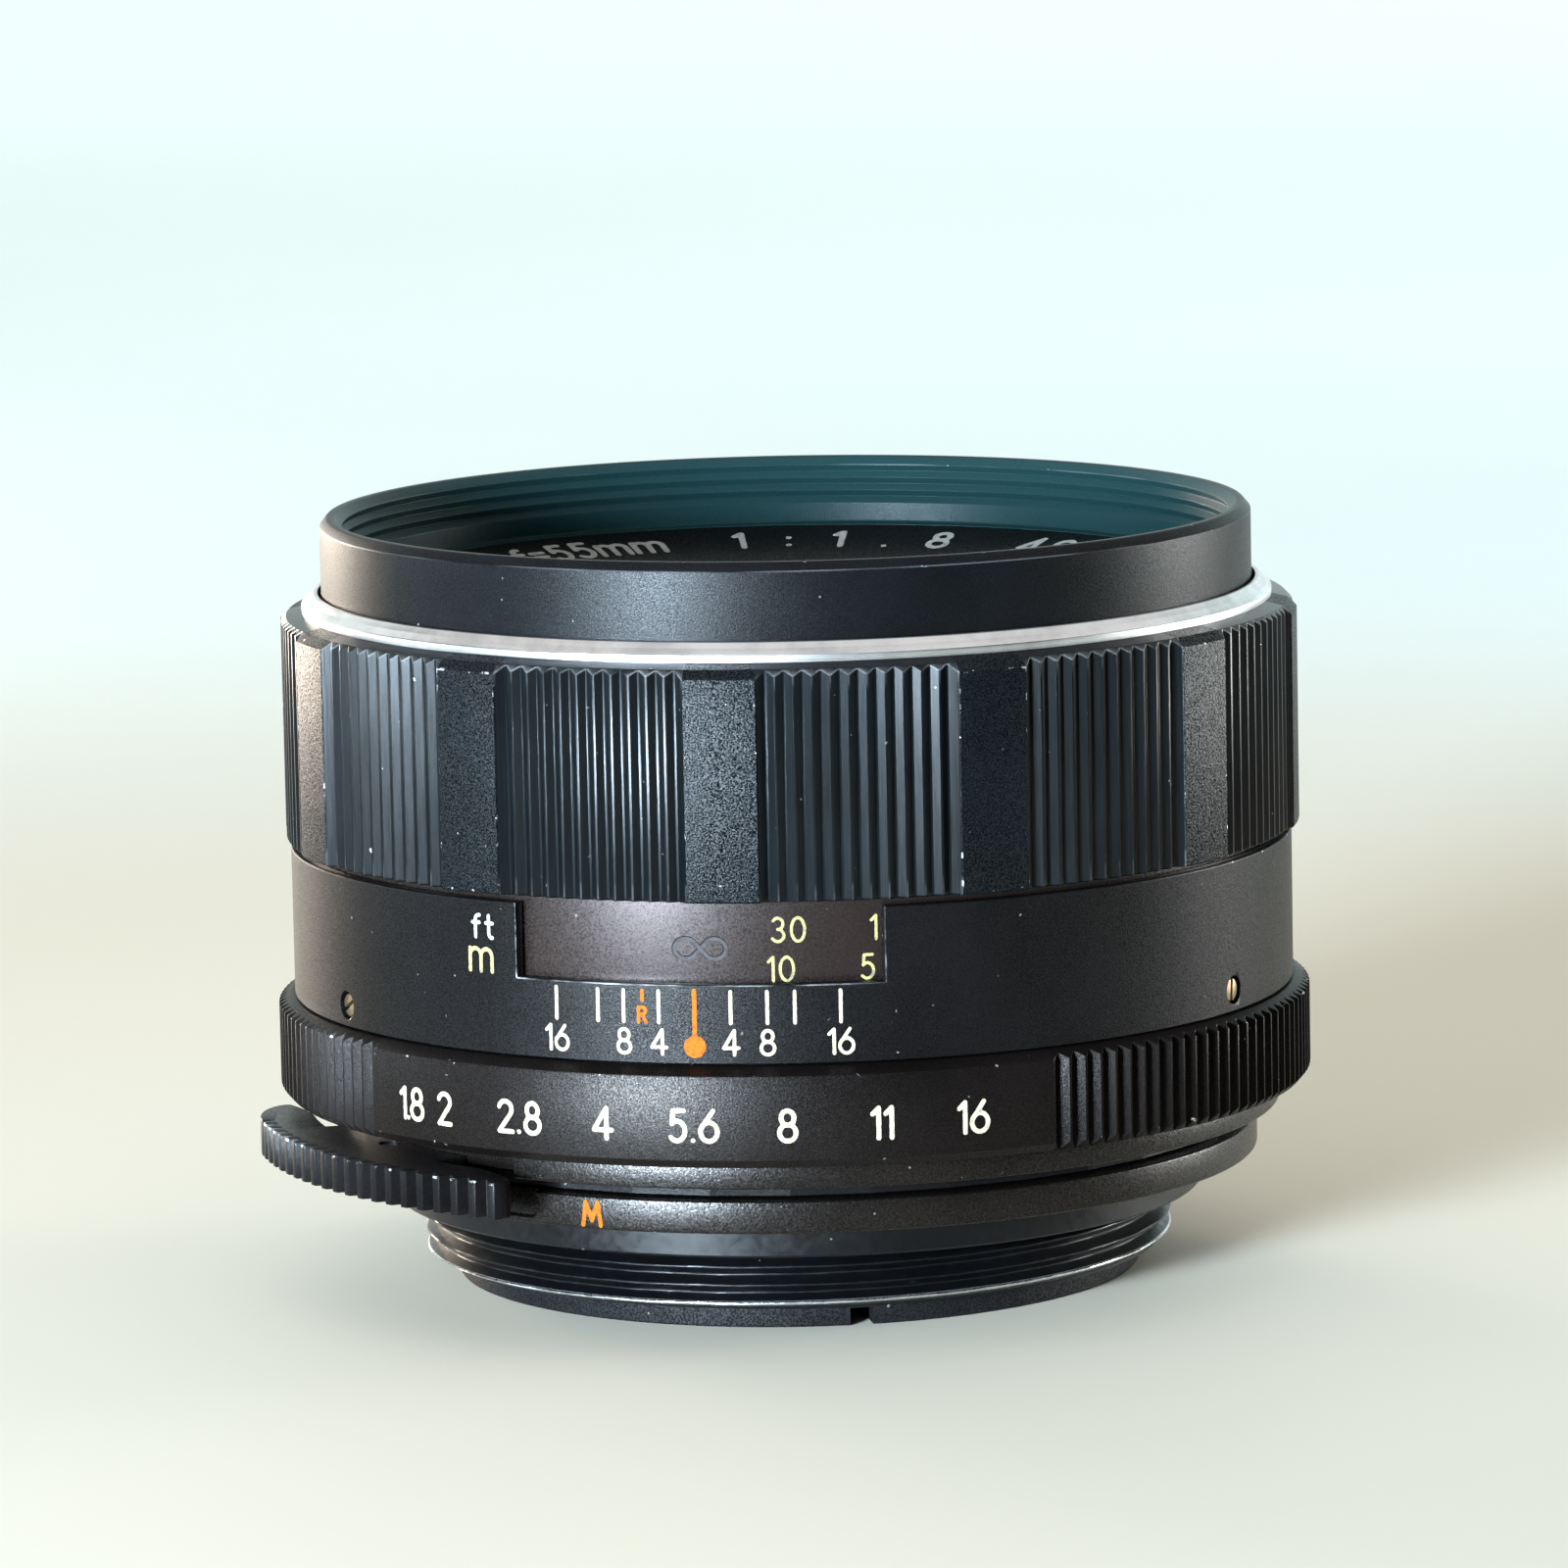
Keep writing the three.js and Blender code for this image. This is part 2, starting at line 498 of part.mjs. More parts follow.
function lensBarrel() {
  return turned([
    [BARREL_BORES.throatR, BARREL.lowZ], [BARREL.outerR, BARREL.lowZ],
    [BARREL.outerR, FILTER.webTopZ], [BARREL.flangeR, FILTER.webTopZ],
    [BARREL.flangeR, BARREL.flangeTopZ], [BARREL.collarR, BARREL.flangeTopZ],
    [BARREL.collarR, BARREL.topZ], [BARREL_BORES.frontR, BARREL.topZ],
    [BARREL_BORES.frontR, BARREL_STEPS.frontZ], [BARREL_BORES.middleR, BARREL_STEPS.frontZ],
    [BARREL_BORES.middleR, BARREL_STEPS.middleZ],
    [BARREL_BORES.backR, BARREL_STEPS.middleZ], [BARREL_BORES.backR, BARREL_STEPS.backZ],
    [BARREL_BORES.throatR, BARREL_STEPS.backZ],
  ], INNER_SEGMENTS);
}

function rearCell() {
  return turned([
    [REAR_CELL.rearR, REAR_CELL.lowZ], [REAR_CELL.outerR, REAR_CELL.lowZ],
    [REAR_CELL.outerR, REAR_CELL.flangeLowZ], [IRIS.outerR, REAR_CELL.flangeLowZ], [IRIS.outerR, IRIS.lowZ],
    [REAR_CELL.doubletR, IRIS.lowZ], [REAR_CELL.doubletR, REAR_STEPS.shoulderTopZ],
    [REAR_CELL.shoulderR, REAR_STEPS.shoulderTopZ], [REAR_CELL.shoulderR, REAR_STEPS.shoulderLowZ],
    [REAR_CELL.rearR, REAR_STEPS.shoulderLowZ],
  ], INNER_SEGMENTS);
}

function surfaceZ([curvature, vertexZ], r) {
  const sag = Math.abs(curvature) - Math.sqrt(curvature ** 2 - r ** 2);
  return vertexZ - Math.sign(curvature) * sag;
}

function surfacePoints(surface) {
  const clearR = surface[2];
  return Array.from({ length: GLASS_STEPS + 1 }, (_, i) => {
    const r = clearR * i / GLASS_STEPS;
    return [r, surfaceZ(surface, r)];
  });
}

function glassElement({ r, front, back }) {
  const outline = surfacePoints(back);
  if (back[2] < r) {
    outline.push([r, surfaceZ(back, back[2])]);
  }
  const frontSide = surfacePoints(front);
  if (front[2] < r) {
    frontSide.push([r, surfaceZ(front, front[2])]);
  }
  outline.push(...frontSide.reverse());
  return turned(outline, GLASS_SEGMENTS);
}

// ---------------------------------------------------------------- iris

const bladePitch = 360 / BLADES.count;

function irisHousing() {
  const blank = turned([
    [IRIS.innerR, IRIS.lowZ], [IRIS.outerR, IRIS.lowZ], [IRIS.outerR, BARREL.lowZ],
    [IRIS.wallR, BARREL.lowZ], [IRIS.wallR, IRIS.floorZ], [IRIS.innerR, IRIS.floorZ],
  ], INNER_SEGMENTS);
  const holes = [];
  for (let i = 0; i < BLADES.count; i += 1) {
    holes.push(post(
      BLADES.pivotR, i * bladePitch, BLADE_PIN.holeR, IRIS.lowZ - OVERSHOOT, IRIS.floorZ + OVERSHOOT,
    ));
  }
  return cut(blank, ...holes);
}

// A crescent with an ear round its pivot pin, drawn fully open and with its pivot at the origin.
function irisBlade(level) {
  const lowZ = BLADES.firstZ + level * BLADES.spacing;
  const topZ = lowZ + BLADES.thickness;
  const crescent = sector(
    BLADE_SHAPE.innerR, BLADE_SHAPE.outerR, -BLADE_SHAPE.behind, BLADE_SHAPE.ahead,
    lowZ, topZ, BLADE_ARC_STEP,
  );
  const ear = bar(BLADE_SHAPE.outerR - OVERSHOOT, BLADES.pivotR, 0, 2 * BLADE_SHAPE.earR, lowZ, topZ);
  const round = post(BLADES.pivotR, 0, BLADE_SHAPE.earR, lowZ, topZ);
  const pin = post(BLADES.pivotR, 0, BLADE_PIN.r, BLADE_PIN.lowZ, topZ);
  return join(crescent, ear, round, pin).translate(0, BLADES.pivotR, 0);
}

// ---------------------------------------------------------------- assembly

add('rear_guard_ring', rearGuardRing(), 'blackAnodised');
add('mount_thread_ring', mountThreadRing(), 'blackAnodised');
add('rear_plate', rearPlate(), 'blackAnodised');
PLATE.screwAngles.forEach((angle, i) => add(`rear_plate_screw_${i + 1}`, plateScrew(angle), 'steel'));
add('base_cover_ring', baseCoverRing(), 'blackPaint');
add('base_body', baseBody(), 'blackPaint');
add('main_body', mainBody(), 'bareAluminium');
add('aperture_click_ball', clickBall(), 'steel');
KEY.angles.forEach((angle, i) => {
  const key = bar(KEY.innerR, KEY.outerR, angle, KEY.width, BODY.flangeTopZ, KEY.topZ);
  add(`guide_key_${i + 1}`, key, 'brass');
});
add('depth_scale_barrel', depthScaleBarrel(), 'blackAnodised');
GRUB.angles.forEach((angle, i) => add(`barrel_screw_${i + 1}`, grubScrew(angle), 'brass'));

add('aperture_ring', stopRing(), 'blackAnodised');
add('switch_ring', switchRing(), 'steel');
add('switch_lever', switchLever(), 'blackPaint');
add('switch_lever_screw', post(
  LEVER_SCREW.ringR, LEVER_SCREW.angle, LEVER_SCREW.r, SWITCH.topZ, LEVER_SCREW.topZ,
), 'steel');
add('aperture_pin', post(PIN.ringR, PIN.angle, PIN.r, PIN.lowZ, PIN.topZ), 'steel');

add('focus_ring', focusRing(), 'blackAnodised');
add('focus_trim_ring', trimRing(), 'brightAluminium');
add('distance_drum', ring(DRUM.innerR, DRUM.outerR, DRUM.lowZ, FOCUS.lowZ), 'brownBlack');
add('focus_helicoid', focusHelicoid(), 'brass');
FOCUS_SCREW.angles.forEach((angle, i) => add(`focus_ring_screw_${i + 1}`, post(
  FOCUS_SCREW.ringR, angle, FOCUS_SCREW.r, FOCUS.lipTopZ, FOCUS_HELICOID.topZ,
), 'steel'));

add('filter_ring', filterRing(), 'blackAnodised');
add('name_ring', nameRing(), 'blackAnodised');
add('inner_helicoid', innerHelicoid(), 'bareAluminium');
add('lens_barrel', lensBarrel(), 'blackAnodised');
for (const [name, clamp] of Object.entries({
  front_retaining_ring: FRONT_CLAMP,
  second_retaining_ring: SECOND_CLAMP,
  doublet_retaining_ring: DOUBLET_CLAMP,
  rear_retaining_ring: { ...REAR_CLAMP, lowZ: REAR_CELL.lowZ },
})) {
  add(name, ring(clamp.innerR, clamp.outerR, clamp.lowZ, clamp.topZ, INNER_SEGMENTS), 'blackAnodised');
}
add('rear_cell', rearCell(), 'blackAnodised');
for (const [name, element] of Object.entries(ELEMENTS)) {
  add(name, glassElement(element), 'glass');
}

add('iris_housing', irisHousing(), 'blackAnodised');
add('iris_drive_ring', ring(
  IRIS_DRIVE.innerR, IRIS_DRIVE.outerR, IRIS_DRIVE.lowZ, IRIS_DRIVE.topZ, INNER_SEGMENTS,
), 'brass');
for (let i = 0; i < BLADES.count; i += 1) {
  const angle = i * bladePitch;
  const pivot = around(BLADES.pivotR, angle);
  const blade = add(`iris_blade_${i + 1}`, irisBlade(i), 'steel');
  blade.position.set(pivot.x, pivot.y, 0);
  blade.rotation.z = radians(angle + BLADES.closedBy);
}

export default lens;
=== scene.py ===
"""Looks for the 55 mm screw-mount prime lens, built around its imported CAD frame.

Lengths are in millimetres and become metres as each mesh is made. Angles are in degrees
about +Z, from the index mark on the -Y side towards +X."""

import math

import bmesh
import bpy
import numpy as np
from mathutils import Matrix, Vector


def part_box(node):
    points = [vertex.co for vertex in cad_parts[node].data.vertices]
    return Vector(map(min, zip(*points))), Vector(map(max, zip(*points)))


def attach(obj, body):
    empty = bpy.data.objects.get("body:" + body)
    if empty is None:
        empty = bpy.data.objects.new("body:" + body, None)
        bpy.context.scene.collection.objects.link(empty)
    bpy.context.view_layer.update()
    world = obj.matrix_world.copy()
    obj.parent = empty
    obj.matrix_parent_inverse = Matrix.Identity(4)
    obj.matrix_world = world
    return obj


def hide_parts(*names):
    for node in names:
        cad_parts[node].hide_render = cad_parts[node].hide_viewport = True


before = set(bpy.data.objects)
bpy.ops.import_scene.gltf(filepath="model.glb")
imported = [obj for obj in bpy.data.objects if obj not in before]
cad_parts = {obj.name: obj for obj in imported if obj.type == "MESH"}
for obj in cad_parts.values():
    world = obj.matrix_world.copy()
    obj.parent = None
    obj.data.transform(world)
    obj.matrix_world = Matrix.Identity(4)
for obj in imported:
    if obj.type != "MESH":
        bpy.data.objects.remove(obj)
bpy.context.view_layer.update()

MM = 0.001
SEGMENTS = 288
EDGE = 0.06


# ---------------------------------------------------------------- measures from the frame

class Span:
    """Outer radius, lowest and highest point of a CAD node that is round about the axis."""

    def __init__(self, node):
        low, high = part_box(node)
        self.r = high.x / MM
        self.low = low.z / MM
        self.top = high.z / MM


filter_span = Span("filter_ring")
trim_span = Span("focus_trim_ring")
focus_span = Span("focus_ring")
drum_span = Span("distance_drum")
scale_span = Span("depth_scale_barrel")
stop_span = Span("aperture_ring")
base_span = Span("base_body")
cover_span = Span("base_cover_ring")
thread_span = Span("mount_thread_ring")
guard_span = Span("rear_guard_ring")
name_span = Span("name_ring")
lever_span = Span("switch_lever")
plate_span = Span("rear_plate")


# ---------------------------------------------------------------- meshes

def polar(r, angle, z=0.0):
    turn = math.radians(angle)
    return Vector((r * math.sin(turn), -r * math.cos(turn), z))


def make(name, points, faces, sharp=30.0):
    """A smooth-shaded object from millimetre points, with its normals pointing out."""
    mesh = bpy.data.meshes.new(name)
    mesh.from_pydata([tuple(c * MM for c in p) for p in points], [], faces)
    work = bmesh.new()
    work.from_mesh(mesh)
    bmesh.ops.remove_doubles(work, verts=work.verts, dist=1e-7)
    bmesh.ops.dissolve_degenerate(work, edges=work.edges, dist=1e-8)
    bmesh.ops.recalc_face_normals(work, faces=work.faces)
    work.to_mesh(mesh)
    work.free()
    obj = bpy.data.objects.new(name, mesh)
    bpy.context.scene.collection.objects.link(obj)
    return soften(obj, sharp)


def soften(obj, sharp=30.0):
    obj.data.shade_smooth()
    obj.data.set_sharp_from_angle(angle=math.radians(sharp))
    return obj


def freeze(obj):
    """Applies the object's modifiers."""
    depsgraph = bpy.context.evaluated_depsgraph_get()
    mesh = bpy.data.meshes.new_from_object(obj.evaluated_get(depsgraph))
    obj.modifiers.clear()
    obj.data = mesh
    return obj


def carve(obj, *cutters):
    """Cuts the cutters out of the object and removes them."""
    for cutter in cutters:
        modifier = obj.modifiers.new("cut", "BOOLEAN")
        modifier.operation = "DIFFERENCE"
        modifier.solver = "EXACT"
        modifier.object = cutter
        freeze(obj)
        bpy.data.objects.remove(cutter)
    return soften(obj)


def bevel(obj, width, segments=2, angle=40.0):
    modifier = obj.modifiers.new("edge", "BEVEL")
    modifier.width = width * MM
    modifier.segments = segments
    modifier.limit_method = "ANGLE"
    modifier.angle_limit = math.radians(angle)
    return soften(freeze(obj))


def true_round(obj, r):
    """Gives the faces on a cylinder of radius r the cylinder's own normals."""
    mesh = obj.data
    normals = [corner.vector.copy() for corner in mesh.corner_normals]
    for face in mesh.polygons:
        points = [mesh.vertices[v].co for v in face.vertices]
        if all(abs(p.xy.length / MM - r) < 0.01 for p in points):
            for corner, p in zip(face.loop_indices, points):
                normals[corner] = Vector((p.x, p.y, 0)).normalized()
    mesh.normals_split_custom_set(normals)
    return obj


ROUND_STEPS = 3
ROD_SIDES = 48


def rounded(outline):
    """The outline with each corner rounded. A corner is (r, z) or (r, z, size of its round)."""
    points = []
    for i, corner in enumerate(outline):
        here = Vector(corner[:2])
        size = corner[2] if len(corner) > 2 else EDGE
        if size == 0:
            points.append(here)
            continue
        before = Vector(outline[i - 1][:2]) - here
        after = Vector(outline[(i + 1) % len(outline)][:2]) - here
        start = here + before.normalized() * min(size, before.length * 0.45)
        end = here + after.normalized() * min(size, after.length * 0.45)
        for k in range(ROUND_STEPS + 1):
            t = k / ROUND_STEPS
            points.append(start * (1 - t) ** 2 + here * 2 * t * (1 - t) + end * t ** 2)
    return points


def loft(name, columns, sharp=30.0):
    """A ring from columns of points. Columns and points both close on themselves."""
    across = len(columns[0])
    points = [p for column in columns for p in column]
    faces = []
    for i in range(len(columns)):
        here = i * across
        there = (i + 1) % len(columns) * across
        for j in range(across):
            k = (j + 1) % across
            faces.append((here + j, there + j, there + k, here + k))
    return make(name, points, faces, sharp)


def turned(name, outline, segments=SEGMENTS):
    profile = rounded(outline)
    angles = [360 * i / segments for i in range(segments)]
    return loft(name, [[polar(p.x, angle, p.y) for p in profile] for angle in angles])


def extruded(name, outline, low, top):
    """A flat outline of (x, y) points, drawn up from low to top."""
    count = len(outline)
    points = [(x, y, z) for z in (low, top) for x, y in outline]
    faces = [tuple(range(count)), tuple(range(count, 2 * count))]
    faces += [(i, (i + 1) % count, count + (i + 1) % count, count + i) for i in range(count)]
    return make(name, points, faces)


def arc_band(name, inner, outer, start, end, low, top, step=1.0):
    count = max(2, math.ceil((end - start) / step))
    angles = [start + (end - start) * i / count for i in range(count + 1)]
    outline = [polar(outer, a).xy for a in angles] + [polar(inner, a).xy for a in reversed(angles)]
    return extruded(name, outline, low, top)


def rod(name, r, low, top):
    turns = [2 * math.pi * i / ROD_SIDES for i in range(ROD_SIDES)]
    outline = [(r * math.cos(t), r * math.sin(t)) for t in turns]
    return extruded(name, outline, low, top)


def block(name, size, centre=(0, 0, 0)):
    half_x, half_y, half_z = (s / 2 for s in size)
    outline = [(-half_x, -half_y), (half_x, -half_y), (half_x, half_y), (-half_x, half_y)]
    return shifted(extruded(name, outline, -half_z, half_z), Matrix.Translation(Vector(centre) * MM))


def shifted(obj, matrix):
    obj.data.transform(matrix)
    return obj


def beside_axis(node):
    """Moves a shape from the lens axis to where the node's own middle is."""
    low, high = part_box(node)
    return Matrix.Translation(((low.x + high.x) / 2, (low.y + high.y) / 2, 0))


def outward(angle, r, z):
    """Turns a shape's own +Z to point out from the lens axis, at that angle, radius and height."""
    place = Matrix.Rotation(math.radians(angle), 4, "Z")
    return place @ Matrix.Translation((0, -r * MM, z * MM)) @ Matrix.Rotation(math.pi / 2, 4, "X")


# ---------------------------------------------------------------- procedural materials

class Shader:
    """A Principled material, with short calls for the nodes that vary it."""

    def __init__(self, name, **sockets):
        self.material = bpy.data.materials.new(name)
        self.material.use_nodes = True
        self.tree = self.material.node_tree
        self.surface = self.tree.nodes["Principled BSDF"]
        for key, value in sockets.items():
            self.surface.inputs[SOCKETS[key]].default_value = value

    def node(self, kind, inputs=(), output=0, **settings):
        node = self.tree.nodes.new(kind)
        for key, value in settings.items():
            setattr(node, key, value)
        for key, value in dict(inputs).items():
            self.feed(node.inputs[key], value)
        return node.outputs[output]

    def feed(self, socket, value):
        if isinstance(value, bpy.types.NodeSocket):
            self.tree.links.new(value, socket)
        else:
            socket.default_value = value

    def math(self, operation, a, b=0.0):
        return self.node("ShaderNodeMath", {0: a, 1: b}, operation=operation)

    def point(self):
        """The surface point in millimetres."""
        spot = self.node("ShaderNodeTexCoord", output=3)
        return self.node("ShaderNodeVectorMath", {0: spot, 1: (1000.0,) * 3}, operation="MULTIPLY")

    def cylinder(self):
        """(radius, angle in degrees, height) of the surface point."""
        parts = self.tree.nodes.new("ShaderNodeSeparateXYZ")
        self.feed(parts.inputs[0], self.point())
        x, y, z = parts.outputs
        r = self.math("SQRT", self.math("ADD", self.math("POWER", x, 2.0), self.math("POWER", y, 2.0)))
        turn = self.math("ARCTAN2", x, self.math("MULTIPLY", y, -1.0))
        return r, self.math("MULTIPLY", turn, 180 / math.pi), z

    def noise(self, scale, detail=2.0, roughness=0.5, at=None):
        vector = self.point() if at is None else at
        inputs = {"Vector": vector, "Scale": scale, "Detail": detail, "Roughness": roughness}
        return self.node("ShaderNodeTexNoise", inputs)

    def cells(self, scale, at=None):
        vector = self.point() if at is None else at
        return self.node("ShaderNodeTexVoronoi", {"Vector": vector, "Scale": scale})

    def vector(self, x, y, z):
        return self.node("ShaderNodeCombineXYZ", {0: x, 1: y, 2: z})

    def ramp(self, value, low, high, to_low=0.0, to_high=1.0):
        inputs = {0: value, 1: low, 2: high, 3: to_low, 4: to_high}
        return self.node("ShaderNodeMapRange", inputs, interpolation_type="SMOOTHSTEP")

    def band(self, value, low, high, soft):
        """1 between low and high, fading to 0 over soft on either side."""
        rise = self.ramp(value, low - soft, low)
        return self.math("MULTIPLY", rise, self.ramp(value, high, high + soft, 1.0, 0.0))

    def blend(self, factor, a, b):
        node = self.tree.nodes.new("ShaderNodeMix")
        node.data_type = "RGBA"
        self.feed(node.inputs[0], factor)
        self.feed(node.inputs[6], a)
        self.feed(node.inputs[7], b)
        return node.outputs[2]

    def bump(self, height, depth):
        """Relief from a height of 0 to 1 that stands for depth in millimetres."""
        inputs = {"Height": height, "Distance": depth * MM, "Strength": 1.0}
        self.feed(self.surface.inputs["Normal"], self.node("ShaderNodeBump", inputs))

    def color(self, value):
        self.feed(self.surface.inputs["Base Color"], value)

    def rough(self, value):
        self.feed(self.surface.inputs["Roughness"], value)

    def metal(self, value):
        self.feed(self.surface.inputs["Metallic"], value)


SOCKETS = {
    "base": "Base Color",
    "roughness": "Roughness",
    "metallic": "Metallic",
    "specular": "Specular IOR Level",
    "ior": "IOR",
    "transmission": "Transmission Weight",
    "coat": "Coat Weight",
    "coat_roughness": "Coat Roughness",
    "sheen": "Sheen Weight",
}
BARE = (0.6, 0.6, 0.6, 1.0)
# Teal painted reflection of the pale mint backdrop, painted into the colour inside the filter ring
PAINTED_REFLECTION_TEAL = (0.008, 0.028, 0.03, 1.0)


def grained_black(name, tone, grain, roughness=0.365, depth=0.012, wear=None, specular=0.09,
                  sheen=(1.0, 1.0, 1.0), marks=None, sparkle=1.0, painted_reflection=None):
    """Black finish on metal with a fine grain, faint mottling, dust and worn places.

    tone is its colour, grain the size of a grain in millimetres and sheen the colour that it
    shines. wear is a function of the shader that gives where bare metal shows. marks changes
    the grain, how much each place shines and where it is even and smoother. sparkle is how much more some
    grains shine than others, and painted_reflection gives where a teal reflection of the pale backdrop
    is painted into the colour on the inside of a ring, in place of light.
    grains shine than others, and lining gives where the lighter inside of a ring is."""
    shader = Shader(name)
    shader.surface.inputs["Specular Tint"].default_value = sheen + (1.0,)
    fine = shader.noise(1 / grain, 3.0, 0.6)
    cloud = shader.noise(0.16, 3.0, 0.55)
    dark = tuple(c * 0.75 for c in tone) + (1.0,)
    light = tuple(c * 1.3 for c in tone) + (1.0,)
    body = shader.blend(shader.ramp(cloud, 0.3, 0.7), dark, light)
    dust = shader.ramp(shader.noise(2.6, 2.0, 0.3), 0.79, 0.81, 0.0, 0.35)
    body = shader.blend(dust, body, (0.3, 0.28, 0.24, 1.0))
    rough = shader.ramp(fine, 0.25, 0.75, roughness - 0.07, roughness + 0.09)
    grains = shader.ramp(shader.noise(1.7 / grain, 2.0, 0.6), 0.36, 0.66)
    low, high = specular * (1 - 0.7 * sparkle), specular * (1 + 1.5 * sparkle)
    shine = shader.ramp(grains, 0.0, 1.0, low, high)
    relief = fine
    if marks:
        relief, shine, even = marks(shader, fine, shine, specular)
        rough = shader.math("MULTIPLY", rough, shader.math("SUBTRACT", 1.0, even))
        rough = shader.math("ADD", rough, shader.math("MULTIPLY", even, roughness - 0.09))
    # Paints the teal reflection of the backdrop over the black inside the ring, standing in for light
    if painted_reflection:
        body = shader.blend(painted_reflection(shader), body, PAINTED_REFLECTION_TEAL)
    if wear:
        bare = wear(shader)
        body = shader.blend(bare, body, BARE)
        rough = shader.math("SUBTRACT", rough, shader.math("MULTIPLY", bare, 0.08))
        shader.metal(bare)
    shader.color(body)
    shader.rough(rough)
    shader.feed(shader.surface.inputs[SOCKETS["specular"]], shine)
    shader.bump(relief, depth)
    return shader.material


def chips(shader, mask, scale=1.6, low=0.6, high=0.66):
    """Where small chips fall within a mask."""
    return shader.math("MULTIPLY", mask, shader.ramp(shader.noise(scale, 4.0, 0.65), low, high))


def turned_metal(name, tone, roughness, lines=9.0, depth=0.004, along="z"):
    """Metal with the fine rings a lathe leaves."""
    shader = Shader(name, metallic=1.0, specular=0.5)
    r, angle, z = shader.cylinder()
    across = {"z": z, "r": r, "both": shader.math("ADD", z, r)}[along]
    rings = shader.noise(lines, 3.0, 0.7, shader.vector(across, shader.math("MULTIPLY", angle, 0.002), 0.0))
    stains = shader.noise(0.3, 4.0, 0.6)
    dark = tuple(c * 0.75 for c in tone) + (1.0,)
    shader.color(shader.blend(shader.ramp(stains, 0.35, 0.65), dark, tone + (1.0,)))
    shader.rough(shader.ramp(rings, 0.3, 0.7, roughness - 0.06, roughness + 0.1))
    shader.bump(rings, depth)
    return shader.material


def fill_paint(name, tone, stain):
    """Engraving paint, slightly uneven and soiled. In near black it also serves as the painted shade beside
    the infinity sign.
    """
    shader = Shader(name, roughness=0.6, specular=0.08)
    soil = shader.ramp(shader.noise(3.5, 4.0, 0.6), 0.42, 0.72)
    shader.color(shader.blend(soil, tone + (1.0,), stain + (1.0,)))
    shader.bump(shader.noise(9.0, 3.0), 0.02)
    return shader.material


def filter_wear(shader):
    r, angle, z = shader.cylinder()
    edge = shader.band(z, filter_span.top - 0.5, filter_span.top - 0.46, 0.03)
    rim = shader.band(r, filter_span.r - 0.5, filter_span.r - 0.38, 0.05)
    rim = shader.math("MULTIPLY", rim, shader.ramp(z, filter_span.top - 0.06, filter_span.top - 0.02))
    line = shader.math("MULTIPLY", edge, shader.ramp(shader.noise(0.12, 2.0), 0.4, 0.6, 0.0, 0.08))
    spots = chips(shader, shader.math("MAXIMUM", edge, rim), 1.7, 0.67, 0.71)
    return shader.math("MAXIMUM", line, spots)


# Where the teal painted reflection goes: the inner faces of the filter ring
def filter_lining(shader):
    r, angle, z = shader.cylinder()
    return shader.ramp(r, filter_span.r - 0.7, filter_span.r - 0.9)


def pad_distance(shader, angle):
    """Degrees from the middle of the nearest pad of the focus ring."""
    shifted_angle = shader.math("ADD", angle, 360.0 - FIRST_PAD + PAD_PITCH / 2)
    along = shader.math("MODULO", shifted_angle, PAD_PITCH)
    return shader.math("ABSOLUTE", shader.math("SUBTRACT", along, PAD_PITCH / 2))


def grip_marks(shader, grain, shine, specular):
    """Grain and sparkle on the pads, and even flanks with upright cutter marks in the grooves."""
    r, angle, z = shader.cylinder()
    pad = shader.ramp(pad_distance(shader, angle), PAD_HALF + 0.05, PAD_HALF - 0.05)
    upright = shader.vector(shader.math("MULTIPLY", angle, 9.0), shader.math("MULTIPLY", z, 0.3), r)
    lines = shader.noise(1.0, 3.0, 0.6, upright)
    grain = shader.math("MULTIPLY", grain, shader.ramp(pad, 0.0, 1.0, 0.06, 1.5))
    groove = shader.ramp(pad, 0.0, 1.0, 1.0, 0.0)
    lines = shader.math("MULTIPLY", lines, shader.math("MULTIPLY", groove, 0.25))
    relief = shader.math("ADD", grain, lines)
    flank = shader.ramp(lines, 0.07, 0.18, specular * 1.3, specular * 2.2)
    on_pad = shader.math("MULTIPLY", shine, pad)
    shine = shader.math("ADD", on_pad, shader.math("MULTIPLY", flank, groove))
    return relief, shine, groove


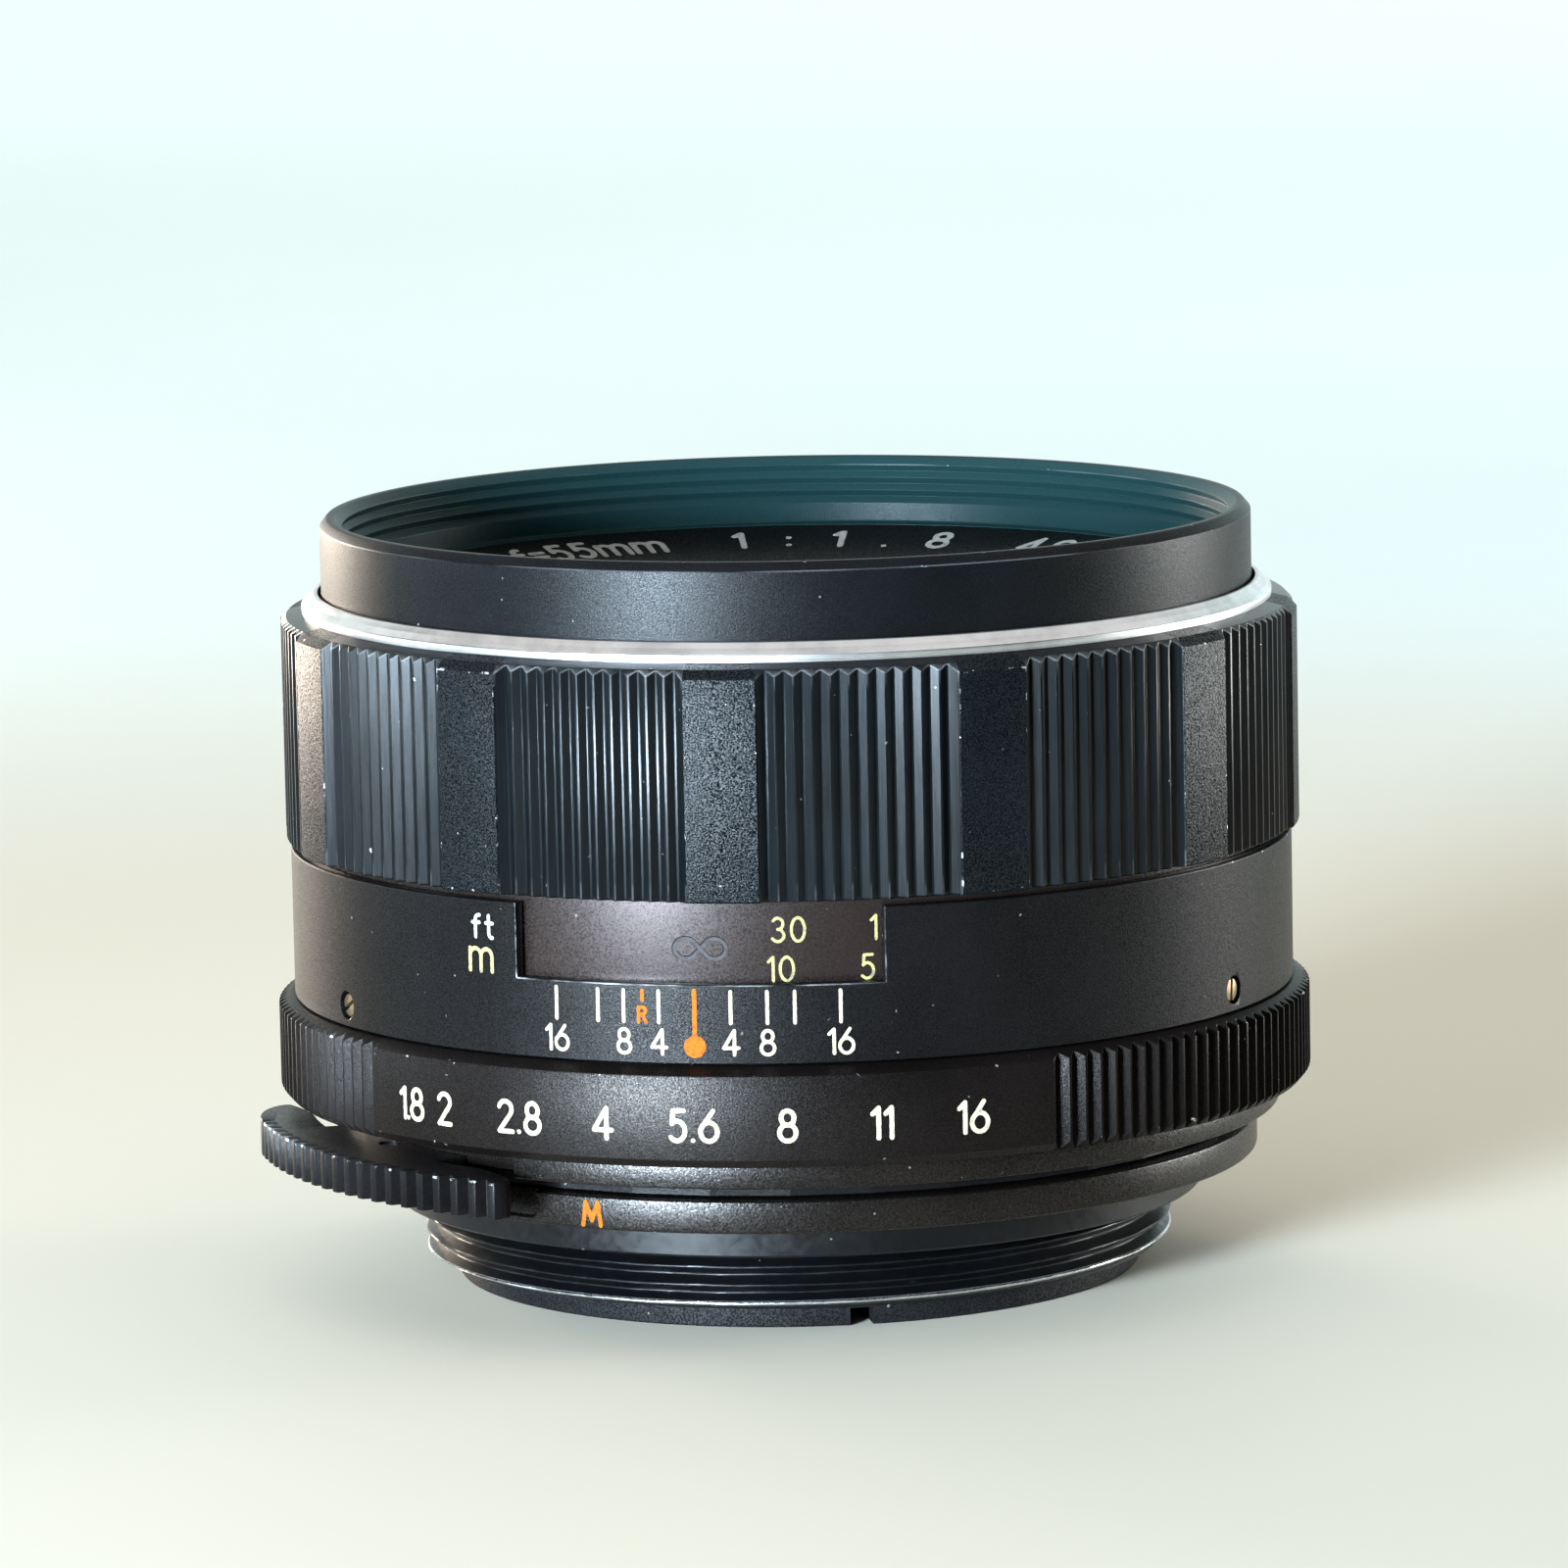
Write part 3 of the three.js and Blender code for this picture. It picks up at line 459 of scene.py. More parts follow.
def grip_wear(shader):
    """Worn groove crests, the edges where the grooves run out, pad edges and a few nicks."""
    r, angle, z = shader.cylinder()
    off_pad = pad_distance(shader, angle)
    turn = shader.math("MULTIPLY", shader.math("SUBTRACT", off_pad, PAD_HALF), 1 / GROOVE_PITCH)
    off_crest = shader.math("PINGPONG", turn, 0.5)
    in_grooves = shader.ramp(off_pad, PAD_HALF - 0.12, PAD_HALF - 0.06)
    fall = shader.math("MULTIPLY", shader.math("SUBTRACT", r, FOCUS_KNEE_R), FOCUS_BEVEL_SLOPE)
    at_bevel = shader.math("SUBTRACT", focus_span.top - FOCUS_KNEE_DROP, fall)
    on_flank = shader.ramp(r, FOCUS_KNEE_R, FOCUS_KNEE_R + 0.04)
    run_out = shader.band(shader.math("SUBTRACT", z, at_bevel), -0.09, -0.03, 0.03)
    teeth = shader.math("MULTIPLY", run_out, on_flank)
    crest = shader.math("MULTIPLY", shader.ramp(off_crest, 0.06, 0.03), on_flank)
    low = shader.ramp(z, focus_span.low + 1.2, focus_span.low + 0.6)
    top = shader.ramp(z, focus_span.top - 1.6, focus_span.top - 0.7)
    ends = shader.ramp(shader.math("MAXIMUM", low, top), 0.0, 1.0, 0.0, 0.05)
    rub = shader.ramp(shader.noise(0.4, 4.0, 0.7), 0.36, 0.66)
    lines = shader.math("MULTIPLY", shader.math("MULTIPLY", crest, ends), rub)
    teeth = shader.math("MULTIPLY", shader.math("MULTIPLY", teeth, 0.14), rub)
    lines = shader.math("MAXIMUM", lines, teeth)
    lines = shader.math("MULTIPLY", lines, in_grooves)
    pad = shader.ramp(off_pad, PAD_HALF + 0.02, PAD_HALF - 0.06)
    bevel_edge = shader.band(z, focus_span.top - 0.74, focus_span.top - 0.68, 0.04)
    foot_edge = shader.band(z, focus_span.low + 0.1, focus_span.low + 0.18, 0.04)
    side_edge = shader.band(off_pad, PAD_HALF - 0.16, PAD_HALF, 0.04)
    edges = shader.math("MAXIMUM", bevel_edge, shader.math("MAXIMUM", foot_edge, side_edge))
    edges = chips(shader, shader.math("MULTIPLY", pad, edges), 1.4, 0.6, 0.68)
    nicks = shader.ramp(shader.noise(2.2, 2.0, 0.4), 0.785, 0.8)
    return shader.math("MAXIMUM", lines, shader.math("MAXIMUM", edges, nicks))


def stop_wear(shader):
    r, angle, z = shader.cylinder()
    low = shader.band(z, stop_span.low + 0.34, stop_span.low + 0.5, 0.05)
    top = shader.band(z, stop_span.top - 0.52, stop_span.top - 0.42, 0.05)
    return chips(shader, shader.math("MAXIMUM", low, top), 1.3, 0.66, 0.7)


def knurl_marks(shader, grain, shine, specular):
    """The knurl is duller than the numbered band."""
    r, angle, z = shader.cylinder()
    from_middle = shader.math("ABSOLUTE", shader.math("ADD", angle, -sum(NUMERAL_BAND) / 2))
    half = (NUMERAL_BAND[1] - NUMERAL_BAND[0]) / 2
    dull = shader.ramp(from_middle, half, half + 0.4, 1.0, 0.4)
    return grain, shader.math("MULTIPLY", shine, dull), 0.0


def lever_wear(shader):
    r, angle, z = shader.cylinder()
    tip = shader.ramp(r, LEVER_TIP - 0.1, LEVER_TIP - 0.01)
    corner = shader.band(z, lever_span.top - 0.12, lever_span.top, 0.05)
    return chips(shader, shader.math("MULTIPLY", tip, corner), 1.6, 0.52, 0.62)


def thread_wear(shader):
    r, angle, z = shader.cylinder()
    crest = shader.band(r, THREAD_CREST - 0.08, THREAD_CREST + 0.02, 0.04)
    last = shader.ramp(z, thread_span.low + 0.85, thread_span.low + 0.7)
    rub = shader.math("MULTIPLY", chips(shader, crest, 1.1, 0.62, 0.7), 0.02)
    return shader.math("MAXIMUM", shader.math("MULTIPLY", crest, last), rub)


def barrel_wear(shader):
    r, angle, z = shader.cylinder()
    outside = shader.ramp(r, scale_span.r - 0.12, scale_span.r - 0.08)
    side = shader.math("ABSOLUTE", angle)
    beside = shader.ramp(side, WINDOW_HALF + 0.1, WINDOW_HALF)
    above = shader.ramp(z, WINDOW_Z - 0.1, WINDOW_Z)
    sill = shader.math("MULTIPLY", shader.band(z, WINDOW_Z - 0.06, WINDOW_Z, 0.03), beside)
    jamb = shader.math("MULTIPLY", shader.band(side, WINDOW_HALF, WINDOW_HALF + 0.12, 0.05), above)
    window = shader.math("MULTIPLY", outside, shader.math("MAXIMUM", sill, jamb))
    line = shader.math("MULTIPLY", window, shader.ramp(shader.noise(0.7, 3.0), 0.4, 0.75, 0.0, 0.3))
    top = shader.band(z, scale_span.top - 0.14, scale_span.top, 0.05)
    return shader.math("MAXIMUM", line, chips(shader, top, 1.4, 0.67, 0.71))


def glass(name, tint, coat_tint):
    """Coated optical glass."""
    shader = Shader(name, base=tint + (1.0,), roughness=0.0, transmission=1.0, ior=1.6, specular=0.16)
    shader.surface.inputs["Specular Tint"].default_value = coat_tint + (1.0,)
    dust = shader.ramp(shader.noise(1.8, 5.0, 0.7), 0.66, 0.8, 0.0, 0.06)
    shader.rough(dust)
    return shader.material


LEVER_TIP = 30.4
THREAD_CREST = 21.0
WINDOW_HALF = 21.0
WINDOW_Z = 20.45
FIRST_PAD = 3.5
PAD_PITCH = 30.0
PAD_HALF = 4.0
GROOVE_CREST_R = 28.28
GROOVE_VALLEY_R = 28.03
FOCUS_KNEE_R = 28.0
FOCUS_CONE_R = 27.1
FOCUS_KNEE_DROP = 0.22
FOCUS_BEVEL_SLOPE = 0.96
GROOVE_PITCH = 2.0
NUMERAL_BAND = (-41.7, 39.5)

MATERIALS = {
    "filter": grained_black("satin_black_anodised", (0.0022, 0.0025, 0.003), 0.1, wear=filter_wear,
                            sparkle=0.5, painted_reflection=filter_lining),
    "grip": grained_black("blasted_black_grip", (0.0015, 0.0024, 0.0032), 0.14, 0.375, 0.028, grip_wear,
                          0.1, marks=grip_marks, sparkle=1.35),
    "scale": grained_black("satin_black_scale", (0.0025, 0.0023, 0.0025), 0.11, wear=barrel_wear,
                           sheen=(1.0, 0.96, 0.94), sparkle=0.8),
    "stop": grained_black("satin_black_stop_ring", (0.0028, 0.002, 0.0018), 0.11, wear=stop_wear,
                          specular=0.105, sheen=(1.0, 0.9, 0.85), marks=knurl_marks, sparkle=0.7),
    "base": grained_black("wrinkle_black_base", (0.0032, 0.0024, 0.002), 0.15, 0.29, 0.02,
                          specular=0.19, sheen=(1.0, 0.93, 0.9), sparkle=0.6),
    "lever": grained_black("black_lever", (0.0035, 0.003, 0.0033), 0.14, wear=lever_wear, sparkle=0.4),
    "thread": grained_black("gloss_black_thread", (0.0015, 0.0016, 0.002), 0.6, 0.34, 0.001,
                            thread_wear, 0.2, sparkle=0.05),
    "inside": grained_black("matt_black_inside", (0.004, 0.004, 0.0045), 0.18, 0.55, 0.01),
    "name": grained_black("satin_black_name_ring", (0.0035, 0.0035, 0.004), 0.12, 0.4),
    "drum": grained_black("brown_black_drum", (0.005, 0.003, 0.0025), 0.12, 0.28, 0.002,
                          specular=0.38, sheen=(1.0, 0.84, 0.82), sparkle=0.15),
    "bright": turned_metal("bright_turned_aluminium", (0.78, 0.77, 0.78), 0.3, 12.0, 0.003, along="both"),
    "bare": turned_metal("bare_turned_aluminium", (0.6, 0.6, 0.62), 0.32),
    "brass": turned_metal("turned_brass", (0.26, 0.19, 0.11), 0.42),
    "steel": turned_metal("bright_steel", (0.5, 0.5, 0.52), 0.28, along="r"),
    "blade": turned_metal("blued_steel_blade", (0.06, 0.06, 0.07), 0.3, 6.0, 0.002, along="r"),
    "cream": fill_paint("cream_fill", (0.38, 0.33, 0.25), (0.22, 0.16, 0.1)),
    "white": fill_paint("white_fill", (0.37, 0.38, 0.37), (0.25, 0.25, 0.23)),
    "yellow": fill_paint("yellow_fill", (0.31, 0.26, 0.1), (0.12, 0.11, 0.08)),
    "grey": fill_paint("bare_engraving", (0.05, 0.045, 0.046), (0.03, 0.027, 0.028)),
    # painted shade for the engraved infinity sign, standing in for the groove's shaded wall, not a paint fill
    "shade": fill_paint("painted_engraving_shade", (0.004, 0.003, 0.003), (0.008, 0.007, 0.007)),
    "orange": fill_paint("orange_fill", (0.36, 0.078, 0.002), (0.22, 0.04, 0.002)),
    "front glass": glass("front_coated_glass", (0.96, 0.99, 0.98), (0.75, 0.42, 0.95)),
    "glass": glass("coated_glass", (0.97, 0.99, 0.98), (1.0, 0.66, 0.32)),
}


def place(obj, body, finish, *nodes):
    """Gives a piece its finish and its body, and hides the CAD nodes that it stands for."""
    obj.data.materials.clear()
    obj.data.materials.append(MATERIALS[finish])
    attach(obj, body)
    if nodes:
        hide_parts(*nodes)
    return obj


# ---------------------------------------------------------------- engraved lettering

def arc(cx, cy, rx, ry, start, end, steps=18):
    turns = [math.radians(start + (end - start) * i / steps) for i in range(steps + 1)]
    return [(cx + rx * math.cos(t), cy + ry * math.sin(t)) for t in turns]


# Each glyph is its width and its strokes, for a height of 1.
GLYPHS = {
    "0": (0.56, [arc(0.28, 0.5, 0.28, 0.5, 0, 360, 32)]),
    "1": (0.2, [[(0.0, 0.8), (0.2, 1.0), (0.2, 0.0)]]),
    "2": (0.54, [arc(0.27, 0.74, 0.25, 0.26, 165, -30) + [(0.02, 0.0), (0.54, 0.0)]]),
    "3": (0.52, [arc(0.25, 0.76, 0.22, 0.24, 150, -90) + arc(0.24, 0.26, 0.26, 0.26, 90, -150)]),
    "4": (0.62, [[(0.44, 0.0), (0.44, 1.0), (0.0, 0.28), (0.62, 0.28)]]),
    "5": (0.52, [[(0.47, 1.0), (0.12, 1.0), (0.08, 0.56)] + arc(0.24, 0.33, 0.27, 0.33, 128, -140)]),
    "6": (0.56, [arc(0.28, 0.31, 0.28, 0.31, 0, 360, 28), [(0.42, 1.0), (0.03, 0.43)]]),
    "7": (0.5, [[(0.0, 1.0), (0.5, 1.0), (0.16, 0.0)]]),
    "8": (0.54, [arc(0.27, 0.76, 0.21, 0.24, 0, 360, 26), arc(0.27, 0.27, 0.27, 0.27, 0, 360, 28)]),
    "9": (0.56, [arc(0.28, 0.69, 0.28, 0.31, 0, 360, 28), [(0.14, 0.0), (0.53, 0.57)]]),
    ".": (0.04, [[(0.02, 0.02), (0.021, 0.02)]]),
    ":": (0.04, [[(0.02, 0.1), (0.021, 0.1)], [(0.02, 0.62), (0.021, 0.62)]]),
    "=": (0.4, [[(0.0, 0.36), (0.4, 0.36)], [(0.0, 0.64), (0.4, 0.64)]]),
    "M": (0.84, [[(0.0, 0.0), (0.14, 1.0), (0.42, 0.22), (0.7, 1.0), (0.84, 0.0)]]),
    "R": (0.52, [[(0.0, 0.0), (0.0, 1.0), (0.26, 1.0)] + arc(0.26, 0.76, 0.22, 0.24, 90, -90) + [(0.0, 0.52)],
                 [(0.24, 0.52), (0.5, 0.0)]]),
    "f": (0.4, [arc(0.36, 0.8, 0.2, 0.2, 80, 180) + [(0.16, 0.0)], [(0.0, 0.66), (0.38, 0.66)]]),
    "t": (0.36, [[(0.16, 1.0), (0.16, 0.2)] + arc(0.34, 0.2, 0.18, 0.2, 180, 275),
                 [(0.0, 0.66), (0.36, 0.66)]]),
    "m": (0.86, [[(0.0, 0.0), (0.0, 0.7)], arc(0.215, 0.47, 0.215, 0.23, 180, 0) + [(0.43, 0.0)],
                 arc(0.645, 0.47, 0.215, 0.23, 180, 0) + [(0.86, 0.0)]]),
}


def stroke_field(strokes, x, y):
    """Distance from each grid point to the nearest stroke line."""
    nearest = np.full(x.shape, 1e9)
    for line in strokes:
        for (ax, ay), (bx, by) in zip(line, line[1:]):
            dx, dy = bx - ax, by - ay
            length = max(dx * dx + dy * dy, 1e-12)
            t = np.clip(((x - ax) * dx + (y - ay) * dy) / length, 0, 1)
            nearest = np.minimum(nearest, np.hypot(x - ax - t * dx, y - ay - t * dy))
    return nearest


def filled(strokes, width):
    """Points and faces of the area within half of width of the strokes."""
    every = np.array([p for line in strokes for p in line])
    step = width / 3.2
    xs = np.arange(every[:, 0].min() - width, every[:, 0].max() + width, step)
    ys = np.arange(every[:, 1].min() - width, every[:, 1].max() + width, step)
    x, y = np.meshgrid(xs, ys, indexing="ij")
    field = stroke_field(strokes, x, y) - width / 2
    points, faces, known = [], [], {}

    def corner(i, j):
        if (i, j) not in known:
            known[i, j] = len(points)
            points.append((xs[i], ys[j]))
        return known[i, j]

    def crossing(a, b):
        key = (min(a, b), max(a, b))
        if key not in known:
            (i, j), (k, m) = key
            t = field[i, j] / (field[i, j] - field[k, m])
            known[key] = len(points)
            points.append((xs[i] + t * (xs[k] - xs[i]), ys[j] + t * (ys[m] - ys[j])))
        return known[key]

    for i in range(len(xs) - 1):
        for j in range(len(ys) - 1):
            ring = [(i, j), (i + 1, j), (i + 1, j + 1), (i, j + 1)]
            inside = [field[c] < 0 for c in ring]
            if not any(inside):
                continue
            face = []
            for k in range(4):
                if inside[k]:
                    face.append(corner(*ring[k]))
                if inside[k] != inside[(k + 1) % 4]:
                    face.append(crossing(ring[k], ring[(k + 1) % 4]))
            if len(face) > 2:
                faces.append(tuple(face))
    return points, faces


class Lettering:
    """Inlaid marks of one colour, gathered into one piece."""

    PROUD = 0.012
    SUNK = 0.06

    def __init__(self, name):
        self.name = name
        self.points = []
        self.faces = []

    def mark(self, strokes, width, surface):
        """Adds strokes, whose points surface(x, y, lift) puts on the piece."""
        flat, cells = filled(strokes, width)
        base = len(self.points)
        count = len(flat)
        self.points += [surface(x, y, self.PROUD) for x, y in flat]
        self.points += [surface(x, y, -self.SUNK) for x, y in flat]
        edges = {}
        for cell in cells:
            self.faces.append(tuple(base + c for c in cell))
            self.faces.append(tuple(base + count + c for c in reversed(cell)))
            for a, b in zip(cell, cell[1:] + cell[:1]):
                edges[a, b] = True
        for a, b in edges:
            if (b, a) not in edges:
                self.faces.append((base + b, base + a, base + count + a, base + count + b))

    def write(self, text, height, width, surface, gap=0.26):
        """Adds a line of text, centred on x = 0, with its foot at y = 0."""
        scale = height - width
        glyphs = [GLYPHS[c] for c in text]
        advances = [glyph[0] * scale + gap * height for glyph in glyphs]
        x = -(sum(advances) - gap * height) / 2
        for (_, strokes), advance in zip(glyphs, advances):
            moved = [[(x + px * scale, width / 2 + py * scale) for px, py in line] for line in strokes]
            self.mark(moved, width, surface)
            x += advance

    def build(self, body, finish):
        return place(make(self.name, self.points, self.faces, 50.0), body, finish)


def on_barrel(r, angle, foot):
    """Puts flat marks on a cylinder, centred on that angle, with y = 0 at height foot."""
    return lambda x, y, lift: polar(r + lift, angle + math.degrees(x / r), foot + y)


def on_cone(r, foot, slope, angle):
    """Puts flat marks on a cone that faces up, with their tops outward."""
    lean = math.atan(slope)

    def surface(x, y, lift):
        across = r + y * math.cos(lean) - lift * math.sin(lean)
        return polar(across, angle - math.degrees(x / r), foot + y * math.sin(lean) + lift * math.cos(lean))
    return surface


# ---------------------------------------------------------------- filter ring and name ring

FILTER_THREAD_R = 24.7
FILTER_SEAT_R = 24.2


def make_filter_ring():
    top, low, r = filter_span.top, filter_span.low, filter_span.r
    thread_top = top - 0.5
    thread_low = 40.1
    outline = [(19.6, low), (r, low), (r, top - 0.49, 0.05), (r - 0.4, top, 0.08), (25.2, top, 0.1)]
    outline.append((FILTER_THREAD_R, thread_top, 0.05))
    grooves = 3
    pitch = (thread_top - thread_low) / grooves
    for i in range(grooves):
        z = thread_top - pitch * i
        outline.append((FILTER_THREAD_R + 0.32, z - pitch * 0.5, 0.04))
        outline.append((FILTER_THREAD_R, z - pitch, 0.04))
    outline += [(FILTER_THREAD_R, 39.0, 0.1), (FILTER_SEAT_R, 38.9, 0.05), (FILTER_SEAT_R, 37.9, 0)]
    outline += [(22.9, 37.9, 0), (22.9, 37.2, 0), (24.9, 36.2, 0), (24.9, 29.4, 0), (19.6, 29.4, 0)]
    place(turned("filter_ring_detail", outline), "optical_unit", "filter", "filter_ring")


NAME_SLOPE = 2.1 / 6.7
NAME_TEXTS = (("1:1.8", 182, 1.1), ("f=55mm", 223, 0.22), ("49", 148, 0.4))
NAME_FOOT_R = 20.9


def make_name_ring():
    top = name_span.top
    outline = [(24.0, 37.9, 0), (24.0, top, 0.1), (17.3, 36.8, 0.15), (15.9, 34.6, 0.08)]
    outline += [(16.3, 34.6, 0), (17.2, 36.12, 0), (22.8, 37.9, 0)]
    place(turned("name_ring_detail", outline), "optical_unit", "name", "name_ring")
    foot = top - NAME_SLOPE * (24.0 - NAME_FOOT_R)
    words = Lettering("name_ring_lettering")
    for text, angle, gap in NAME_TEXTS:
        words.write(text, 2.3, 0.36, on_cone(NAME_FOOT_R, foot, NAME_SLOPE, angle), gap)
    words.build("optical_unit", "white")


# ---------------------------------------------------------------- focusing group

PAD_COUNT = 12
GROOVES = 11


def groove_edges(start, pitch, count, crest, valley, first=None, last=None):
    """(angle, radius) corners of a run of V grooves. first and last are the radii at its ends."""
    corners = [(start, first or crest)]
    for i in range(count):
        middle = start + pitch * (i + 0.5)
        corners += [(middle - pitch * 0.06, valley), (middle + pitch * 0.06, valley)]
        if i < count - 1:
            corners += [(start + pitch * (i + 0.94), crest), (start + pitch * (i + 1.06), crest)]
    corners.append((start + pitch * count, last or crest))
    return corners


def make_focus_ring():
    r, low, top = focus_span.r, focus_span.low, focus_span.top
    corners = []
    for i in range(PAD_COUNT):
        pad = FIRST_PAD + i * PAD_PITCH
        corners += [(pad + a, r) for a in np.linspace(-PAD_HALF + 0.1, PAD_HALF - 0.1, 9)]
        corners += groove_edges(
            pad + PAD_HALF, GROOVE_PITCH, GROOVES, GROOVE_CREST_R, GROOVE_VALLEY_R, r - 0.06, r - 0.06)
    columns = []
    knee = top - FOCUS_KNEE_DROP
    for angle, mill in corners:
        head = knee - FOCUS_BEVEL_SLOPE * (mill - FOCUS_KNEE_R)
        profile = [(25.2, low), (mill - 0.12, low), (mill - 0.02, low + 0.08), (mill, low + 0.16)]
        profile += [(mill, head - 0.05), (mill - 0.02, head), (FOCUS_KNEE_R, knee)]
        profile += [(FOCUS_CONE_R + 0.06, top - 0.02), (FOCUS_CONE_R, top), (26.4, top)]
        profile += [(26.4, 25.9), (25.2, 25.9)]
        columns.append([polar(x, angle, z) for x, z in profile])
    place(loft("focus_ring_detail", columns, 22.0), "focus_group", "grip", "focus_ring")


def make_trim_ring():
    low, top = trim_span.low, trim_span.top
    outline = [(26.2, low, 0), (27.1, low, 0.04), (27.1, low + 0.42, 0.06), (26.7, top - 0.32, 0.06)]
    outline += [(26.42, top, 0.08), (26.2, top, 0.05)]
    place(turned("focus_trim_ring_detail", outline), "focus_group", "bright", "focus_trim_ring")


FOCAL_LENGTH = 55.0
DEGREES_PER_MM = 31.2
FEET = (30, 15, 10, 7, 5, 4, 3.5, 3, 2.5, 2, 1.75, 1.5)
METRES = (10, 5, 3, 2, 1.5, 1.2, 1, 0.9, 0.8, 0.7, 0.6, 0.55, 0.5, 0.45)
MM_PER_FOOT = 304.8


def scale_angle(distance):
    """Where a focusing distance, in millimetres from the film, is on the drum."""
    return DEGREES_PER_MM * FOCAL_LENGTH ** 2 / (distance - 2 * FOCAL_LENGTH)


def make_distance_drum():
    low, top, r = drum_span.low, drum_span.top, drum_span.r
    outline = [(26.4, low), (r, low), (r, top, 0), (26.4, top, 0)]
    place(turned("distance_drum_detail", outline), "focus_group", "drum", "distance_drum")
    feet = Lettering("distance_feet")
    for value in FEET:
        feet.write(f"{value:g}", 1.43, 0.16, on_barrel(r, scale_angle(value * MM_PER_FOOT), 22.57))
    feet.build("focus_group", "yellow")
    metres = Lettering("distance_metres")
    for value in METRES:
        metres.write(f"{value:g}", 1.43, 0.16, on_barrel(r, scale_angle(value * 1000), 20.46))
    metres.build("focus_group", "yellow")
    left, right = arc(-0.78, 0, 0.62, 0.54, 50, 310, 24), arc(0.78, 0, 0.62, 0.54, 130, -130, 24)
    loops = [left + right + left[:1]]
    # Painted shade: a near-black copy of the stroke, a little up and to the left under the grey one, stands
    # in for the shaded wall of the engraved groove. The grey stroke is the engraving's own colour.
    shade = Lettering("distance_infinity_painted_shade")
    shade.mark(loops, 0.27, on_barrel(r - 0.006, 0.4, 22.3))
    shade.build("focus_group", "shade")
    infinity = Lettering("distance_infinity")
    infinity.mark(loops, 0.19, on_barrel(r, 0.45, 22.27))
    infinity.build("focus_group", "grey")


# ---------------------------------------------------------------- depth-of-field barrel

GRUB_ANGLES = (-50, 70, 190)
GRUB_Z = 17.35
GRUB_R = 0.62
TICKS = (4, 8, 11, 16)


def make_scale_barrel():
    r, low, top = scale_span.r, scale_span.low, scale_span.top
    outline = [(27.4, low), (r, low), (r, GRUB_Z - 1, 0), (r, GRUB_Z + 1, 0), (r, top, 0.1), (27.4, top, 0)]
    barrel = turned("depth_scale_barrel_detail", outline)
    window = arc_band("window", 26.5, r + 1, -WINDOW_HALF, WINDOW_HALF, WINDOW_Z, top + 1)
    holes = []
    for angle in GRUB_ANGLES:
        holes.append(shifted(rod("hole", GRUB_R + 0.16, -2, 2), outward(angle, r, GRUB_Z)))
    carve(barrel, window, *holes)
    place(true_round(bevel(barrel, 0.05), r), "lens_body", "scale", "depth_scale_barrel")
    for i, angle in enumerate(GRUB_ANGLES):
        screw = rod("barrel_screw_detail_%d" % (i + 1), GRUB_R, -1.2, -0.16)
        carve(screw, block("slot", (2, 0.22, 0.6), (0, 0, -0.16)))
        shifted(bevel(screw, 0.05), Matrix.Rotation(0.5 + i, 4, "Z"))
        place(shifted(screw, outward(angle, r, GRUB_Z)), "lens_body", "brass", "barrel_screw_%d" % (i + 1))


def make_scale_marks():
    r = scale_span.r
    cream = Lettering("depth_scale_ticks")
    for tick in TICKS:
        for side in (-1, 1):
            cream.mark([[(0, 0.1), (0, 1.8)]], 0.2, on_barrel(r, side * tick, 18.3))
    for number, angle in ((16, 16), (8, 8), (4, 4)):
        for side in (-1, 1):
            cream.write(str(number), 1.5, 0.19, on_barrel(r, side * angle, 16.6), 0.2)
    cream.build("lens_body", "cream")
    orange = Lettering("index_mark")
    orange.mark([[(0, 0.1), (0, 2.95)]], 0.24, on_barrel(r, 0, 17.2))
    orange.mark([[(0, 0), (0.001, 0)]], 1.25, on_barrel(r, 0, 17.12))
    orange.mark([[(0, 0), (0, 0.5)]], 0.2, on_barrel(r, -5.85, 19.6))
    orange.write("R", 1.0, 0.18, on_barrel(r, -5.85, 18.3))
    orange.build("lens_body", "orange")
    feet = Lettering("feet_label")
    feet.write("ft", 1.4, 0.2, on_barrel(r, -25.5, 22.35), 0.3)
    feet.build("lens_body", "white")
    metres = Lettering("metres_label")
    metres.write("m", 1.95, 0.22, on_barrel(r, -25.8, 20.5))
    metres.build("lens_body", "yellow")


# ---------------------------------------------------------------- aperture ring

STOP_GROOVES = 139
STOPS = (("5.6", 0), ("8", 10), ("11", 20), ("16", 30), ("4", -10), ("2.8", -20), ("2", -30), ("1.8", -35))


def make_aperture_ring():
    r = stop_span.r - 0.03
    low, top = stop_span.low, stop_span.top
    start, end = NUMERAL_BAND[1], NUMERAL_BAND[0] + 360
    corners = [(a, r) for a in np.linspace(NUMERAL_BAND[0], NUMERAL_BAND[1], 82)[:-1]]
    corners += groove_edges(start, (end - start) / STOP_GROOVES, STOP_GROOVES, r, r - 0.42)[:-1]
    columns = []
    for angle, mill in corners:
        foot = low + max(0.0, 0.42 - (r - mill))
        head = top - 0.45 * max(0.0, mill - 28.2) / 0.8
        profile = [(26.65, low), (28.58, low), (mill - 0.01, foot + 0.02), (mill, foot + 0.08)]
        profile += [(mill, head - 0.08), (mill - 0.03, head), (28.24, top - 0.02), (28.16, top), (26.65, top)]
        columns.append([polar(x, angle, z) for x, z in profile])
    place(loft("aperture_ring_detail", columns, 22.0), "aperture_control", "stop", "aperture_ring")
    numbers = Lettering("aperture_numbers")
    for text, angle in STOPS:
        gap = 0.12 if text == "1.8" else 0.2
        numbers.write(text, 1.9, 0.26, on_barrel(r, angle, 12.05), gap)
    numbers.build("aperture_control", "cream")


# ---------------------------------------------------------------- base rings and switch

POCKET = (-79.0, -23.3)
POCKET_FLOOR = 25.2
POCKET_LOW = 6.85
POCKET_END_R = 0.75
PIN_BORE_R = 0.95
PLATE_SCREWS = ("rear_plate_screw_1", "rear_plate_screw_2", "rear_plate_screw_3")


